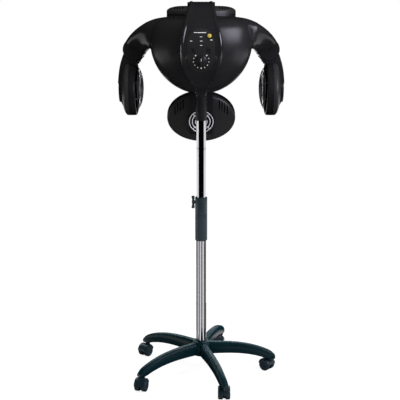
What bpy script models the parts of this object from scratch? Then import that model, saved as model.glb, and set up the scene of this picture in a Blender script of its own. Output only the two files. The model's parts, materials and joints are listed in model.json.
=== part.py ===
"""Four-head warm-air dryer on a telescopic stand with a five-arm caster base.

Metres, +Z up. The origin is on the floor, on the axis of the pole. The control
panel looks along -Y; the animal sits on the +Y side, between the four heads.
"""

from math import cos, pi, radians, sin, sqrt, tanh

import bmesh
import bpy
from mathutils import Matrix, Vector

# ---------------------------------------------------------------- dimensions
GAP = 0.0003  # clearance between pieces that touch

# Twin-wheel casters
WHEEL_RADIUS = 0.025
WHEEL_WIDTH = 0.019
WHEEL_EDGE = 0.003
WHEEL_SIDES = 14
STEM_SIDES = 10
CASTER_WEB = 0.009
CASTER_TRAIL = 0.018
CASTER_AXLE_RADIUS = 0.0035
CASTER_HOOD_WALL = 0.0022
CASTER_HOOD_CLEARANCE = 0.0014
CASTER_NECK_RADIUS = 0.0095
CASTER_NECK_HEIGHT = 0.0035
CASTER_STEM_RADIUS = 0.0055
CASTER_STEM_LENGTH = 0.020
CASTER_TURNS = (135.0, 200.0, 238.0, 255.0, 90.0)  # where each caster trails, degrees

# Five-arm base
ARM_COUNT = 5
ARM_REACH = 0.292
FOOT_WALL = 0.004
FOOT_HALF_WIDTH = 0.019
FOOT_END_HALF_WIDTH = 0.0145
FOOT_DEPTH = 0.050
FOOT_NOSE = 0.021
HUB_HEIGHT = 0.058
HUB_BOTTOM = 0.080
HUB_FLOOR = 0.007
HUB_WALL = 0.015
FOOT_BOLT_RADIUS = 0.005
FOOT_BOLT_HEAD_RADIUS = 0.010

# Telescopic pole
UPPER_TUBE_RADIUS = 0.0190
TUBE_WALL = 0.0015
TUBE_SLIDE_CLEARANCE = 0.0005
LOWER_TUBE_LENGTH = 0.628
UPPER_TUBE_BOTTOM = 0.350
BUSH_LENGTH = 0.030
BUSH_FLANGE = 0.012
TUBE_SIDES = 24
BOLT_SIDES = 12
COLLAR_WALL = 0.0035
COLLAR_BOTTOM = 0.578
COLLAR_HEAD = 0.043
COLLAR_BAND = 0.0012
SCREW_RADIUS = 0.004
SCREW_HUB_RADIUS = 0.0075
SCREW_HUB_LENGTH = 0.013
SCREW_DROP = 0.021
WING_SPAN = 0.026
WING_THICKNESS = 0.004

# Hood
NECK_WALL = 0.0034
NECK_BOTTOM = 1.070
NECK_LENGTH = 0.152
NECK_TOP = NECK_BOTTOM + NECK_LENGTH
SOCKET_DEPTH = 0.112
FRAME_BELOW_NECK_TOP = 0.010  # how far the frame reaches down over the socket
FRAME_BOTTOM = NECK_TOP - FRAME_BELOW_NECK_TOP
FRAME_HEIGHT = 0.186
FRAME_TOP = FRAME_BOTTOM + FRAME_HEIGHT
FRAME_HALF_WIDTH = 0.0495
FRAME_FRONT = -0.025
FRAME_WALL = 0.006

DOME_HALF_WIDTH = 0.200
DOME_HALF_HEIGHT = 0.208
DOME_FLAT_HEIGHT = 0.092
DOME_DEPTH = 0.145
DOME_CENTRE_DROP = 0.018  # the dome's centre below the frame's top
DOME_CENTRE_Z = FRAME_TOP - DOME_CENTRE_DROP
DOME_BACK_Y = 0.030
DOME_WALL = 0.003
BACK_COVER_WALL = 0.004
BACK_COVER_CROWN = 0.010
LOUVRE_COUNT = 5
LOUVRE_LENGTH = 0.046
LOUVRE_HEIGHT = 0.005
LOUVRE_PITCH = 0.012
LOUVRE_X = 0.090
LOUVRE_DROP = 0.060  # the first louvre below the dome's centre

# Heads, in their own frame: x along the long axis, y towards the elbow, z outwards
HEAD_HALF_LENGTH = 0.140
HEAD_HALF_WIDTH = 0.109
HEAD_CROWN = 0.030
HEAD_WALL = 0.003
BEZEL_DEPTH = 0.027
BEZEL_WALL = 0.012
BEZEL_LIP = 0.004
FACET_ROOM = 0.0028  # what a faceted oval needs inside another
GRILLE_BULGE = 0.030
GRILLE_WIRE = 0.0026
GRILLE_RINGS = 3
RIB_HALF_WIDTH = 0.047
RIB_HEIGHT = 0.049
RIB_WALL = 0.004
INTAKE_RADIUS = 0.0495
INTAKE_WALL = 0.0035
GUARD_SEAT_RADIUS = 0.0515
GUARD_THICKNESS = 0.0026
SLOT_WIDTH = 0.0045
SLOT_LENGTH = 0.040
SLOT_PITCH = 0.011
SLOT_COUNT = 4
FAN_HUB_RADIUS = 0.015
FAN_BLADES = 5
FAN_CLEARANCE = 0.003
MOTOR_RADIUS = 0.017
MOTOR_HEIGHT = 0.016
SHAFT_RADIUS = 0.0025
HEATER_THICKNESS = 0.004
ELBOW_RADIUS = 0.044
ELBOW_SHOULDER = 0.006
ELBOW_PIN_RADIUS = 0.005
ELBOW_TONGUE_HALF_WIDTH = 0.015
ELBOW_TONGUE_RADIUS = 0.013
ELBOW_LOBE = 0.005
ELBOW_SIDES = 24
ELBOW_OUTWARD = -0.018  # height of the elbow's axis above the head's seam
CUP_OUTER_DEGREES = 65.0  # how far the cup wraps round the elbow, from the head's side
CUP_INNER_DEGREES = 52.0

# Where the heads hang: x, y, z of the seam's centre, then the tilt
SIDE_HEAD_X = 0.288
SIDE_HEAD_Y = 0.150
SIDE_ARM_RISE = 0.093  # the side arms' flat top over the dome's centre
SIDE_ARM_TOP = DOME_CENTRE_Z + SIDE_ARM_RISE
SIDE_HEAD_DROP = 0.293  # the side heads' centres below the arms' top
SIDE_HEAD_Z = SIDE_ARM_TOP - SIDE_HEAD_DROP
TOP_HEAD_Y = 0.190
TOP_HEAD_RISE = 0.080  # the top head's seam over the frame's top
TOP_HEAD_Z = FRAME_TOP + TOP_HEAD_RISE
NAPE_HEAD_Y = 0.140
NAPE_HEAD_DROP = 0.315  # the nape head's centre below the dome's
NAPE_HEAD_Z = DOME_CENTRE_Z - NAPE_HEAD_DROP
NAPE_TILT = 20.0

ARM_WALL = 0.004
SIDE_ARM_HALF_WIDTH = 0.047
SIDE_ARM_END_LEAN = 0.895  # sine of the arm's turn from level, at the elbow
# in the hood: share of the way out, half thickness, drop of the upper face
SIDE_ARM_ROOT_ROWS = ((0.0, 0.066, 0.0), (0.45, 0.0625, 0.003), (0.78, 0.0580, 0.010), (1.0, 0.0525, 0.022))
# outside: shares of the way to the elbow in x, y and z, sine of the turn, half thickness
SIDE_ARM_BEND_ROWS = (
    (0.213, 0.12, 0.118, 0.262, 0.0487), (0.443, 0.33, 0.314, 0.522, 0.0466),
    (0.664, 0.57, 0.550, 0.726, 0.0462), (0.843, 0.81, 0.793, 0.844, 0.0462),
)

# Spine cover and control panel
SPINE_HALF_WIDTH = 0.081
SPINE_LIP = 0.003
SPINE_WALL = 0.0075
PLATE_HALF_WIDTH = 0.0525
PLATE_HALF_HEIGHT = 0.083
PLATE_DROP = 0.031  # the plate's centre below the dome's
PLATE_CENTRE_Z = DOME_CENTRE_Z - PLATE_DROP
PLATE_THICKNESS = 0.0025
WINDOW_MARGIN = 0.006
KNOB_DROP = 0.037  # the knob below the plate's centre
KNOB_Z = PLATE_CENTRE_Z - KNOB_DROP
KNOB_RADIUS = 0.0205
KNOB_HEIGHT = 0.017
KNOB_SKIRT = 0.004
TIMER_SIZE = 0.042
TIMER_DEPTH = 0.026
ROCKER_X = 0.028
ROCKER_DROP = 0.0015  # the keys below the plate's centre
ROCKER_Z = PLATE_CENTRE_Z - ROCKER_DROP
ROCKER_RADIUS = 0.009
ROCKER_HALF_WIDTH = 0.0065
LAMP_X = 0.0305
LAMP_RISE = 0.0545  # the lamp over the plate's centre
LAMP_Z = PLATE_CENTRE_Z + LAMP_RISE
LAMP_RADIUS = 0.0080
LAMP_STEM_RADIUS = 0.005

OVAL_SIDES = 20
ROUND_SIDES = 16


# ---------------------------------------------------------------- scene tools
def clear_scene():
    for old in list(bpy.data.objects):
        bpy.data.objects.remove(old)


def finish(name, color, roughness, metallic=0.0):
    """A Principled material."""
    material = bpy.data.materials.new(name)
    material.use_nodes = True
    shader = material.node_tree.nodes["Principled BSDF"]
    shader.inputs["Base Color"].default_value = (*color, 1.0)
    shader.inputs["Roughness"].default_value = roughness
    shader.inputs["Metallic"].default_value = metallic
    material.diffuse_color = (*color, 1.0)
    return material


def make_object(name, mesh_builder):
    """An object from a bmesh, with its faces pointing out."""
    bmesh.ops.recalc_face_normals(mesh_builder, faces=mesh_builder.faces)
    mesh = bpy.data.meshes.new(name)
    mesh_builder.to_mesh(mesh)
    mesh_builder.free()
    piece = bpy.data.objects.new(name, mesh)
    bpy.context.collection.objects.link(piece)
    return piece


def combine(target, other, operation):
    """Apply an exact Boolean of another object to the target, and remove the other."""
    modifier = target.modifiers.new(operation, "BOOLEAN")
    modifier.operation = operation
    modifier.object = other
    evaluated = target.evaluated_get(bpy.context.evaluated_depsgraph_get())
    mesh = bpy.data.meshes.new_from_object(evaluated)
    target.modifiers.clear()
    target.data = mesh
    bpy.data.objects.remove(other)
    return target


def join(target, other):
    return combine(target, other, "UNION")


def cut(target, other):
    return combine(target, other, "DIFFERENCE")


def keep(target, other):
    return combine(target, other, "INTERSECT")


def dress(piece, material, sharp_degrees=35.0):
    """Give a finished piece its material and shading, with its flat faces whole."""
    shape = bmesh.new()
    shape.from_mesh(piece.data)
    bmesh.ops.dissolve_limit(shape, angle_limit=radians(0.2), use_dissolve_boundaries=False,
                             verts=shape.verts, edges=shape.edges)
    bmesh.ops.triangulate(shape, faces=shape.faces)
    shape.to_mesh(piece.data)
    shape.free()
    piece.data.materials.clear()
    piece.data.materials.append(material)
    piece.data.shade_smooth()
    piece.data.set_sharp_from_angle(angle=radians(sharp_degrees))
    return piece


def copy_piece(piece, name):
    twin = bpy.data.objects.new(name, piece.data)
    bpy.context.collection.objects.link(twin)
    return twin


def empty_at(name, matrix, parent=None):
    pivot = bpy.data.objects.new(name, None)
    bpy.context.collection.objects.link(pivot)
    pivot.parent = parent
    pivot.matrix_local = matrix
    return pivot


def place(piece, parent, matrix=None):
    piece.parent = parent
    piece.matrix_local = matrix or Matrix.Identity(4)
    return piece


def reshape(piece, matrix):
    """Move a piece's mesh itself."""
    piece.data.transform(matrix)
    return piece


# ---------------------------------------------------------------- shape tools
def loft(name, rings, closed=False):
    """Skin a row of point rings; closed joins the last ring to the first."""
    shape = bmesh.new()
    loops = [[shape.verts.new(point) for point in ring] for ring in rings]
    pairs = list(zip(loops, loops[1:]))
    if closed:
        pairs.append((loops[-1], loops[0]))
    count = len(loops[0])
    for first, second in pairs:
        for index in range(count):
            after = (index + 1) % count
            shape.faces.new((first[index], first[after], second[after], second[index]))
    if not closed:
        shape.faces.new(loops[0])
        shape.faces.new(loops[-1])
    return make_object(name, shape)


def turned(name, profile, sides, closed=False):
    """Spin a profile of (radius, z) points round Z; open ends are filled flat."""
    shape = bmesh.new()
    points = [shape.verts.new((radius, 0.0, z)) for radius, z in profile]
    edges = [shape.edges.new(pair) for pair in zip(points, points[1:])]
    if closed:
        edges.append(shape.edges.new((points[-1], points[0])))
    bmesh.ops.spin(shape, geom=points + edges, axis=(0, 0, 1), cent=(0, 0, 0),
                   angle=2 * pi, steps=sides, use_merge=True)
    if not closed:
        rims = [edge for edge in shape.edges if edge.is_boundary]
        bmesh.ops.holes_fill(shape, edges=rims)
    return make_object(name, shape)


def cylinder(name, radius, bottom, top, sides=24):
    return turned(name, [(radius, bottom), (radius, top)], sides)


def block(name, low, high):
    """A box between two corners."""
    shape = bmesh.new()
    bmesh.ops.create_cube(shape, size=1.0)
    low, high = Vector(low), Vector(high)
    size = high - low
    bmesh.ops.scale(shape, vec=size, verts=shape.verts)
    bmesh.ops.translate(shape, vec=(low + high) / 2, verts=shape.verts)
    return make_object(name, shape)


def extruded(name, outline, start, end, along="X"):
    """A flat outline of (u, v) points carried along an axis from start to end."""
    place_point = {
        "X": lambda u, v, w: (w, u, v),
        "Y": lambda u, v, w: (u, w, v),
        "Z": lambda u, v, w: (u, v, w),
    }[along]
    rings = [[place_point(u, v, w) for u, v in outline] for w in (start, end)]
    return loft(name, rings)


def superellipse(half_x, half_y, count, power=2.0, start=0.0):
    """Points round an oval; a power above 2 squares its corners."""
    points = []
    for index in range(count):
        angle = 2 * pi * (index + start) / count
        c, s = cos(angle), sin(angle)
        size = (abs(c) ** power + abs(s) ** power) ** (-1.0 / power)
        points.append((half_x * size * c, half_y * size * s))
    return points


def inside(radius, sides=ROUND_SIDES):
    """The widest round that clears the flats of a faceted hole of this radius."""
    return radius * cos(pi / sides) - GAP


def arc(centre, radius, start_degrees, end_degrees, steps):
    """Points (u, v) along an arc."""
    points = []
    for index in range(steps + 1):
        angle = radians(start_degrees + (end_degrees - start_degrees) * index / steps)
        points.append((centre[0] + radius * cos(angle), centre[1] + radius * sin(angle)))
    return points


def smooth_values(stations, values, count):
    """Resample a few given values on a smooth curve (Catmull-Rom) over the stations."""
    result = []
    first, last = stations[0], stations[-1]
    for index in range(count):
        t = first + (last - first) * index / (count - 1)
        span = 0
        while span < len(stations) - 2 and t > stations[span + 1]:
            span += 1
        t0, t1 = stations[span], stations[span + 1]
        u = (t - t0) / (t1 - t0)
        before, after = max(span - 1, 0), min(span + 2, len(stations) - 1)
        slope0 = (values[span + 1] - values[before]) / (stations[span + 1] - stations[before])
        slope1 = (values[after] - values[span]) / (stations[after] - stations[span])
        h = t1 - t0
        a = 2 * u**3 - 3 * u**2 + 1
        b = u**3 - 2 * u**2 + u
        c = -2 * u**3 + 3 * u**2
        d = u**3 - u**2
        result.append(a * values[span] + b * h * slope0 + c * values[span + 1] + d * h * slope1)
    return result


# ---------------------------------------------------------------- the casters
def caster_wheels(name):
    """Two wheels on their axle, which lies along Y through the origin."""
    inner = CASTER_WEB / 2 + CASTER_HOOD_CLEARANCE / 2
    outer = inner + WHEEL_WIDTH
    tyre = WHEEL_RADIUS / cos(pi / WHEEL_SIDES)
    half = [
        (CASTER_AXLE_RADIUS, inner),
        (tyre, inner),
        (tyre, outer - WHEEL_EDGE),
        (tyre - WHEEL_EDGE, outer),
    ]
    profile = [(radius, -z) for radius, z in reversed(half)] + half
    wheels = turned(name, profile, WHEEL_SIDES)
    flat_down = Matrix.Rotation(pi / 2, 4, "X") @ Matrix.Rotation(pi / 2 + pi / WHEEL_SIDES, 4, "Z")
    return reshape(wheels, flat_down)


def caster_height():
    hood_top = 2 * WHEEL_RADIUS + CASTER_HOOD_CLEARANCE + CASTER_HOOD_WALL
    return hood_top + CASTER_NECK_HEIGHT


def caster_housing(name):
    """Web, wheel hood, neck and stem; the swivel axis is Z, the wheels trail along +X."""
    axle = (CASTER_TRAIL, WHEEL_RADIUS)
    half_width = CASTER_WEB / 2 + CASTER_HOOD_CLEARANCE / 2 + WHEEL_WIDTH
    inner = WHEEL_RADIUS / cos(pi / WHEEL_SIDES) + CASTER_HOOD_CLEARANCE
    outer = inner + CASTER_HOOD_WALL
    hood_outline = arc(axle, outer, 12, 168, 6) + arc(axle, inner, 168, 12, 6)
    housing = extruded(name, hood_outline, -half_width, half_width, "Y")
    web_radius = WHEEL_RADIUS - WHEEL_EDGE
    web_outline = arc(axle, inner + CASTER_HOOD_WALL / 2, 14, 166, 6) + arc(axle, web_radius, 180, 360, 5)
    web = extruded("web", web_outline, -CASTER_WEB / 2, CASTER_WEB / 2, "Y")
    join(housing, web)
    shoulder = caster_height()
    neck_root = WHEEL_RADIUS + sqrt(max(inner**2 - CASTER_TRAIL**2, 0.0)) * 0.9
    neck = turned("neck", [
        (CASTER_NECK_RADIUS, neck_root),
        (CASTER_NECK_RADIUS, shoulder),
        (CASTER_STEM_RADIUS, shoulder),
        (CASTER_STEM_RADIUS, shoulder + CASTER_STEM_LENGTH),
    ], STEM_SIDES)
    wheel_space = turned("wheel_space", [(inner, -half_width), (inner, half_width)], WHEEL_SIDES)
    reshape(wheel_space, Matrix.Translation((axle[0], 0, axle[1])) @ Matrix.Rotation(pi / 2, 4, "X"))
    cut(neck, wheel_space)
    join(housing, neck)
    bore = cylinder("bore", CASTER_AXLE_RADIUS + GAP, -half_width, half_width, WHEEL_SIDES)
    reshape(bore, Matrix.Translation((axle[0], 0, axle[1])) @ Matrix.Rotation(pi / 2, 4, "X"))
    cut(housing, bore)
    return housing


# ---------------------------------------------------------------- the base
def lower_tube_radius():
    return UPPER_TUBE_RADIUS + TUBE_SLIDE_CLEARANCE + TUBE_WALL


def hub_radius():
    return lower_tube_radius() + GAP + HUB_WALL


def foot_section(reach, low, high, half_width):
    """One slab-sided section of a base arm, with its narrow raised ridge."""
    height = high - low
    half = [
        (half_width, 0.0),
        (half_width, 0.58 * height),
        (0.80 * half_width, 0.84 * height),
        (0.44 * half_width, height),
    ]
    points = [Vector((reach, y, low + z)) for y, z in half]
    return points + [Vector((reach, -p.y, p.z)) for p in reversed(points)]


def channel_section(reach, low, high, half_width):
    """The same section's hollow: straight sides and a narrower roof."""
    points = [(half_width, low), (0.92 * half_width, low + 0.6 * (high - low)), (0.45 * half_width, high)]
    points += [(-y, z) for y, z in reversed(points)]
    return [Vector((reach, y, z)) for y, z in points]


def foot_profile():
    """Stations along a base arm: reach, underside, top, half width."""
    pad = caster_height() + GAP
    top = HUB_BOTTOM + HUB_HEIGHT - 0.004
    end = ARM_REACH + FOOT_NOSE
    shares = (0.0, 0.18, 0.40, 0.60, 0.78, 0.90, 0.965, 1.0)
    start = hub_radius() * 0.5
    rows = []
    for share in shares:
        reach = start + (end - start) * share
        crown = top - (top - pad - 0.022) * share**3.2
        if share > 0.95:
            crown = pad + (0.0295 if share < 1.0 else 0.018)
        under = crown - FOOT_DEPTH * (1 - 0.28 * share)
        under = max(under, pad) if share > 0.5 else under
        half_width = FOOT_HALF_WIDTH + (FOOT_END_HALF_WIDTH - FOOT_HALF_WIDTH) * share
        if share == 1.0:
            half_width *= 0.66
        rows.append((reach, under, crown, half_width))
    return rows


def star_base():
    """Hub and five arched, slab-sided arms, channelled from below."""
    radius = hub_radius()
    top = HUB_BOTTOM + HUB_HEIGHT
    bore = lower_tube_radius() + GAP
    base = turned("star_base", [
        (radius + 0.002, HUB_BOTTOM),
        (radius, top - 0.006),
        (radius - 0.005, top),
    ], TUBE_SIDES)
    rows = foot_profile()
    pad = caster_height() + GAP
    channels = []
    for index in range(ARM_COUNT):
        turn = Matrix.Rotation(2 * pi * index / ARM_COUNT, 4, "Z")
        foot = loft("foot", [foot_section(*row) for row in rows])
        join(base, reshape(foot, turn))
        boss_top = pad + CASTER_STEM_LENGTH + 0.0025
        boss = cylinder("boss", FOOT_END_HALF_WIDTH * 0.85, pad, boss_top, STEM_SIDES)
        join(base, reshape(boss, turn @ Matrix.Translation((ARM_REACH, 0, 0))))
        channel_start = radius + 0.004
        channel_end = ARM_REACH - FOOT_END_HALF_WIDTH - FOOT_WALL
        channel_rows = []
        for reach, under, crown, half_width in rows[1:-3]:
            reach = min(max(reach, channel_start), channel_end)
            ceiling = crown - 2.6 * FOOT_WALL
            channel_rows.append((reach + 0.0013, under - 0.02, ceiling, half_width - FOOT_WALL))
        channel = loft("channel", [channel_section(*row) for row in channel_rows])
        channels.append(reshape(channel, turn))
        stem_top = pad + CASTER_STEM_LENGTH + GAP
        stem = cylinder("stem", CASTER_STEM_RADIUS + GAP, pad - 0.01, stem_top, STEM_SIDES)
        channels.append(reshape(stem, turn @ Matrix.Translation((ARM_REACH, 0, 0))))
    for channel in channels:
        cut(base, channel)
    cut(base, cylinder("tube_seat", bore, HUB_BOTTOM + HUB_FLOOR, top + 0.01, TUBE_SIDES))
    cut(base, cylinder("bolt_hole", FOOT_BOLT_RADIUS + GAP, HUB_BOTTOM - 0.03, top, 12))
    return base


def foot_bolt():
    """Bolt under the hub, with the plug that holds the pole's foot."""
    floor = HUB_BOTTOM + HUB_FLOOR
    plug = lower_tube_radius() - TUBE_WALL - GAP
    under = HUB_BOTTOM - GAP
    return turned("foot_bolt", [
        (FOOT_BOLT_HEAD_RADIUS, under - 0.0095),
        (FOOT_BOLT_HEAD_RADIUS, under - 0.0025),
        (FOOT_BOLT_HEAD_RADIUS * 1.4, under - 0.0025),
        (FOOT_BOLT_HEAD_RADIUS * 1.4, under),
        (FOOT_BOLT_RADIUS, under),
        (FOOT_BOLT_RADIUS, floor + GAP),
        (plug, floor + GAP),
        (plug, floor + 0.018),
    ], BOLT_SIDES)


# ---------------------------------------------------------------- the pole
def lower_tube_bottom():
    return HUB_BOTTOM + HUB_FLOOR + GAP


def lower_tube_top():
    return lower_tube_bottom() + LOWER_TUBE_LENGTH


def lower_tube():
    outer = lower_tube_radius()
    low, high = lower_tube_bottom(), lower_tube_top()
    profile = [(outer, low), (outer, high), (outer - TUBE_WALL, high), (outer - TUBE_WALL, low)]
    return turned("lower_tube", profile, TUBE_SIDES, closed=True)


def neck_seat():
    return NECK_BOTTOM + SOCKET_DEPTH


def upper_tube():
    outer, low, high = UPPER_TUBE_RADIUS, UPPER_TUBE_BOTTOM, neck_seat() - GAP
    profile = [(outer, low), (outer, high), (outer - TUBE_WALL, high), (outer - TUBE_WALL, low)]
    return turned("upper_tube", profile, TUBE_SIDES, closed=True)


def guide_bush():
    """Plastic plug in the foot of the upper tube; its flange runs in the lower tube."""
    outer = UPPER_TUBE_RADIUS - TUBE_WALL - GAP
    flange = UPPER_TUBE_RADIUS + TUBE_SLIDE_CLEARANCE - GAP
    low = UPPER_TUBE_BOTTOM - GAP - BUSH_FLANGE
    bore = outer - 0.003
    return turned("guide_bush", [
        (bore, low), (flange, low), (flange, low + BUSH_FLANGE),
        (outer, low + BUSH_FLANGE), (outer, low + BUSH_FLANGE + BUSH_LENGTH),
        (bore, low + BUSH_FLANGE + BUSH_LENGTH),
    ], TUBE_SIDES, closed=True)


def collar_top():
    return lower_tube_top() + COLLAR_HEAD


def screw_height():
    return lower_tube_top() + COLLAR_HEAD - SCREW_DROP


def collar_radius():
    return lower_tube_radius() + GAP + COLLAR_WALL


def collar():
    """Moulded clamp sleeve on the lower tube, with a banded head."""
    outer = collar_radius()
    wide = lower_tube_radius() + GAP
    tight = UPPER_TUBE_RADIUS + GAP
    top, seat = collar_top(), lower_tube_top() + GAP
    profile = [(wide, COLLAR_BOTTOM), (outer - 0.0012, COLLAR_BOTTOM), (outer, COLLAR_BOTTOM + 0.004)]
    length = top - COLLAR_BOTTOM
    for share in (0.60,):
        band = COLLAR_BOTTOM + length * share
        profile += [(outer, band), (outer - COLLAR_BAND, band + 0.001), (outer, band + 0.005)]
    profile += [
        (outer, top - 0.003), (outer - 0.003, top),
        (tight, top), (tight, seat), (wide, seat),
    ]
    sleeve = turned("collar", profile, TUBE_SIDES, closed=True)
    hole = cylinder("hole", SCREW_RADIUS + GAP, 0.0, 2 * outer, 12)
    side = Matrix.Translation((0, 0, screw_height())) @ Matrix.Rotation(-pi / 2, 4, "Y")
    return cut(sleeve, reshape(hole, side))


def wing_screw():
    """Clamp screw along X with two wings; the origin is on its axis."""
    tip = UPPER_TUBE_RADIUS + GAP
    shoulder = collar_radius() + GAP
    end = shoulder + SCREW_HUB_LENGTH
    screw = turned("wing_screw", [
        (SCREW_RADIUS, tip), (SCREW_RADIUS, shoulder),
        (SCREW_HUB_RADIUS, shoulder), (SCREW_HUB_RADIUS, end - 0.002), (SCREW_HUB_RADIUS - 0.002, end),
    ], 12)
    half = WING_THICKNESS / 2
    inner, outer = shoulder + 0.002, end
    bow = [
        (0.0, inner + 0.0015), (WING_SPAN, inner - 0.0005), (WING_SPAN, outer + 0.0015),
        (0.0, outer - 0.0025), (-WING_SPAN, outer + 0.0015), (-WING_SPAN, inner - 0.0005),
    ]
    wings = extruded("wings", [(v, u) for v, u in bow], -half, half, "Y")
    join(screw, wings)
    return reshape(screw, Matrix.Rotation(-pi / 2, 4, "Y"))


# ---------------------------------------------------------------- heads
def head_oval(inset, z, sides=OVAL_SIDES):
    outline = superellipse(HEAD_HALF_LENGTH - inset, HEAD_HALF_WIDTH - inset, sides)
    return [Vector((x, y, z)) for x, y in outline]


def elbow_lift():
    """Distance from the head's centre to the elbow's axis."""
    return HEAD_HALF_WIDTH + ELBOW_SHOULDER + ELBOW_RADIUS


def rib_line():
    """The rib's outer line: (y, z) from its foot to the elbow cup."""
    width, lift = HEAD_HALF_WIDTH, elbow_lift()
    cup_y = lift - ELBOW_RADIUS * cos(radians(CUP_OUTER_DEGREES))
    cup_z = ELBOW_OUTWARD + (ELBOW_RADIUS + 0.003) * sin(radians(CUP_OUTER_DEGREES))
    stations = [-0.88 * width, -0.77 * width, -0.38 * width, 0.0, 0.52 * width, 0.92 * width, cup_y]
    heights = [0.10, 0.38, 0.84, 1.0, 0.94, 0.78]
    values = [share * RIB_HEIGHT for share in heights] + [cup_z]
    return stations, values


def rib(name, wall=0.0):
    """The raised band over the head's outer face, from its foot up to the elbow."""
    stations, values = rib_line()
    count = 8
    heights = smooth_values(stations, values, count)
    low_y, high_y = stations[0], stations[-1]
    rings = []
    for index in range(count):
        share = index / (count - 1)
        y = low_y + (high_y - low_y) * share
        y = min(max(y, low_y + 2 * wall), high_y - 2 * wall - (0.02 if wall else 0.0))
        half = RIB_HALF_WIDTH * (0.86 + 0.14 * min(1.0, 2 * share)) - wall
        top = heights[index] - wall
        floor = 0.004 - wall
        top = max(top, floor + 0.001)
        edge = min(0.008, 0.6 * (top - floor))
        rings.append([Vector(p) for p in (
            (-half, y, floor), (half, y, floor), (half, y, top - edge),
            (half - edge, y, top), (-half + edge, y, top), (-half, y, top - edge),
        )])
    return loft(name, rings)


def cup_radius():
    """The cup's radius: the faceted barrel turns in it with clearance."""
    return ELBOW_RADIUS / cos(pi / ELBOW_SIDES) + GAP


def on_elbow():
    """Places a piece made along Z on the elbow's axis of a head."""
    return Matrix.Translation((0, elbow_lift(), ELBOW_OUTWARD)) @ Matrix.Rotation(pi / 2, 4, "Y")


def tail_block():
    """The shoulder between the head's edge and the elbow; the elbow's cup is cut from it."""
    stations, values = rib_line()
    lift = elbow_lift()
    cup_y, cup_z = stations[-1], values[-1]
    inner = radians(CUP_INNER_DEGREES)
    lobe = ELBOW_RADIUS + ELBOW_LOBE
    outline = [
        (0.86 * HEAD_HALF_WIDTH, 0.004), (0.86 * HEAD_HALF_WIDTH, 0.80 * RIB_HEIGHT),
        (cup_y, cup_z), (lift, ELBOW_OUTWARD),
        (lift - lobe * cos(inner), ELBOW_OUTWARD - lobe * sin(inner)),
        (lift - lobe * cos(0.72 * inner), ELBOW_OUTWARD - lobe * sin(0.72 * inner)),
        (HEAD_HALF_WIDTH + 0.0015, -1.5 * BEZEL_DEPTH),
        (0.80 * HEAD_HALF_WIDTH, -1.3 * BEZEL_DEPTH),
    ]
    return extruded("tail", outline, -RIB_HALF_WIDTH, RIB_HALF_WIDTH, "X")


def cup_space():
    reach = 2 * RIB_HALF_WIDTH
    return reshape(cylinder("cup_space", cup_radius(), -reach, reach, ELBOW_SIDES), on_elbow())


def tongue():
    """The lug in the middle of the cup that turns on the elbow's pin."""
    lift = elbow_lift()
    half = ELBOW_TONGUE_RADIUS * 0.55
    outline = arc((lift, ELBOW_OUTWARD), ELBOW_TONGUE_RADIUS, 147, -147, 12)
    root = lift - 1.06 * ELBOW_RADIUS
    outline += [(root, ELBOW_OUTWARD - half), (root, ELBOW_OUTWARD + half)]
    width = ELBOW_TONGUE_HALF_WIDTH
    lug = extruded("tongue", outline, -width, width, "X")
    bore = cylinder("bore", ELBOW_PIN_RADIUS + GAP, -2 * width, 2 * width, 12)
    return cut(lug, reshape(bore, on_elbow()))


def slot_cutter():
    """The vent slots in the two upper corners of the head's outer face."""
    shape = bmesh.new()
    for side in (-1, 1):
        for index in range(SLOT_COUNT):
            x = HEAD_HALF_LENGTH * 0.76 - index * SLOT_PITCH
            share = x / (HEAD_HALF_LENGTH - 0.006)
            high = (HEAD_HALF_WIDTH - 0.006) * sqrt(max(1 - share**2, 0.04))
            box = bmesh.ops.create_cube(shape, size=1.0)["verts"]
            bmesh.ops.scale(shape, vec=(SLOT_WIDTH, SLOT_LENGTH, 0.06), verts=box)
            bmesh.ops.translate(shape, vec=(side * x, high - SLOT_LENGTH / 2, HEAD_CROWN), verts=box)
    return make_object("slots", shape)


def head_shell(name):
    """Outer casing of a head: oval dish, rib, intake boss, fan shroud, vents and elbow cup."""
    outer_rows = [(0, GAP), (0, 0.011), (0.006, 0.0205), (0.024, 0.0275), (0.062, HEAD_CROWN)]
    shell = loft(name, [head_oval(inset, z) for inset, z in outer_rows])
    join(shell, rib("rib"))
    boss_top = RIB_HEIGHT - 0.0035
    boss_radius = INTAKE_RADIUS + INTAKE_WALL + 0.003
    boss_profile = [(boss_radius, 0.012), (boss_radius, boss_top - 0.003), (boss_radius - 0.003, boss_top)]
    join(shell, turned("boss", boss_profile, ROUND_SIDES))
    above_boss = cylinder("above_boss", INTAKE_RADIUS + INTAKE_WALL, boss_top, RIB_HEIGHT + 0.02, ROUND_SIDES)
    cut(shell, above_boss)
    join(shell, tail_block())
    cut(shell, cup_space())
    bezel_space = loft("bezel_space", [head_oval(-GAP, -0.08), head_oval(-GAP, GAP)])
    cut(shell, bezel_space)
    cavity_rows = [
        (HEAD_WALL, -0.01), (HEAD_WALL, 0.009), (0.009, 0.0175), (0.026, 0.0240),
        (0.062, HEAD_CROWN - HEAD_WALL),
    ]
    cut(shell, loft("cavity", [head_oval(inset, z) for inset, z in cavity_rows]))
    cut(shell, rib("rib_space", RIB_WALL))
    join(shell, cylinder("shroud", INTAKE_RADIUS + INTAKE_WALL, 0.006, boss_top - 0.001, ROUND_SIDES))
    cut(shell, cylinder("intake", INTAKE_RADIUS, -0.01, RIB_HEIGHT + 0.02, ROUND_SIDES))
    seat_floor = boss_top - GUARD_THICKNESS - GAP
    cut(shell, cylinder("guard_seat", GUARD_SEAT_RADIUS, seat_floor, RIB_HEIGHT + 0.02, ROUND_SIDES))
    cut(shell, slot_cutter())
    return join(shell, tongue())


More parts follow.
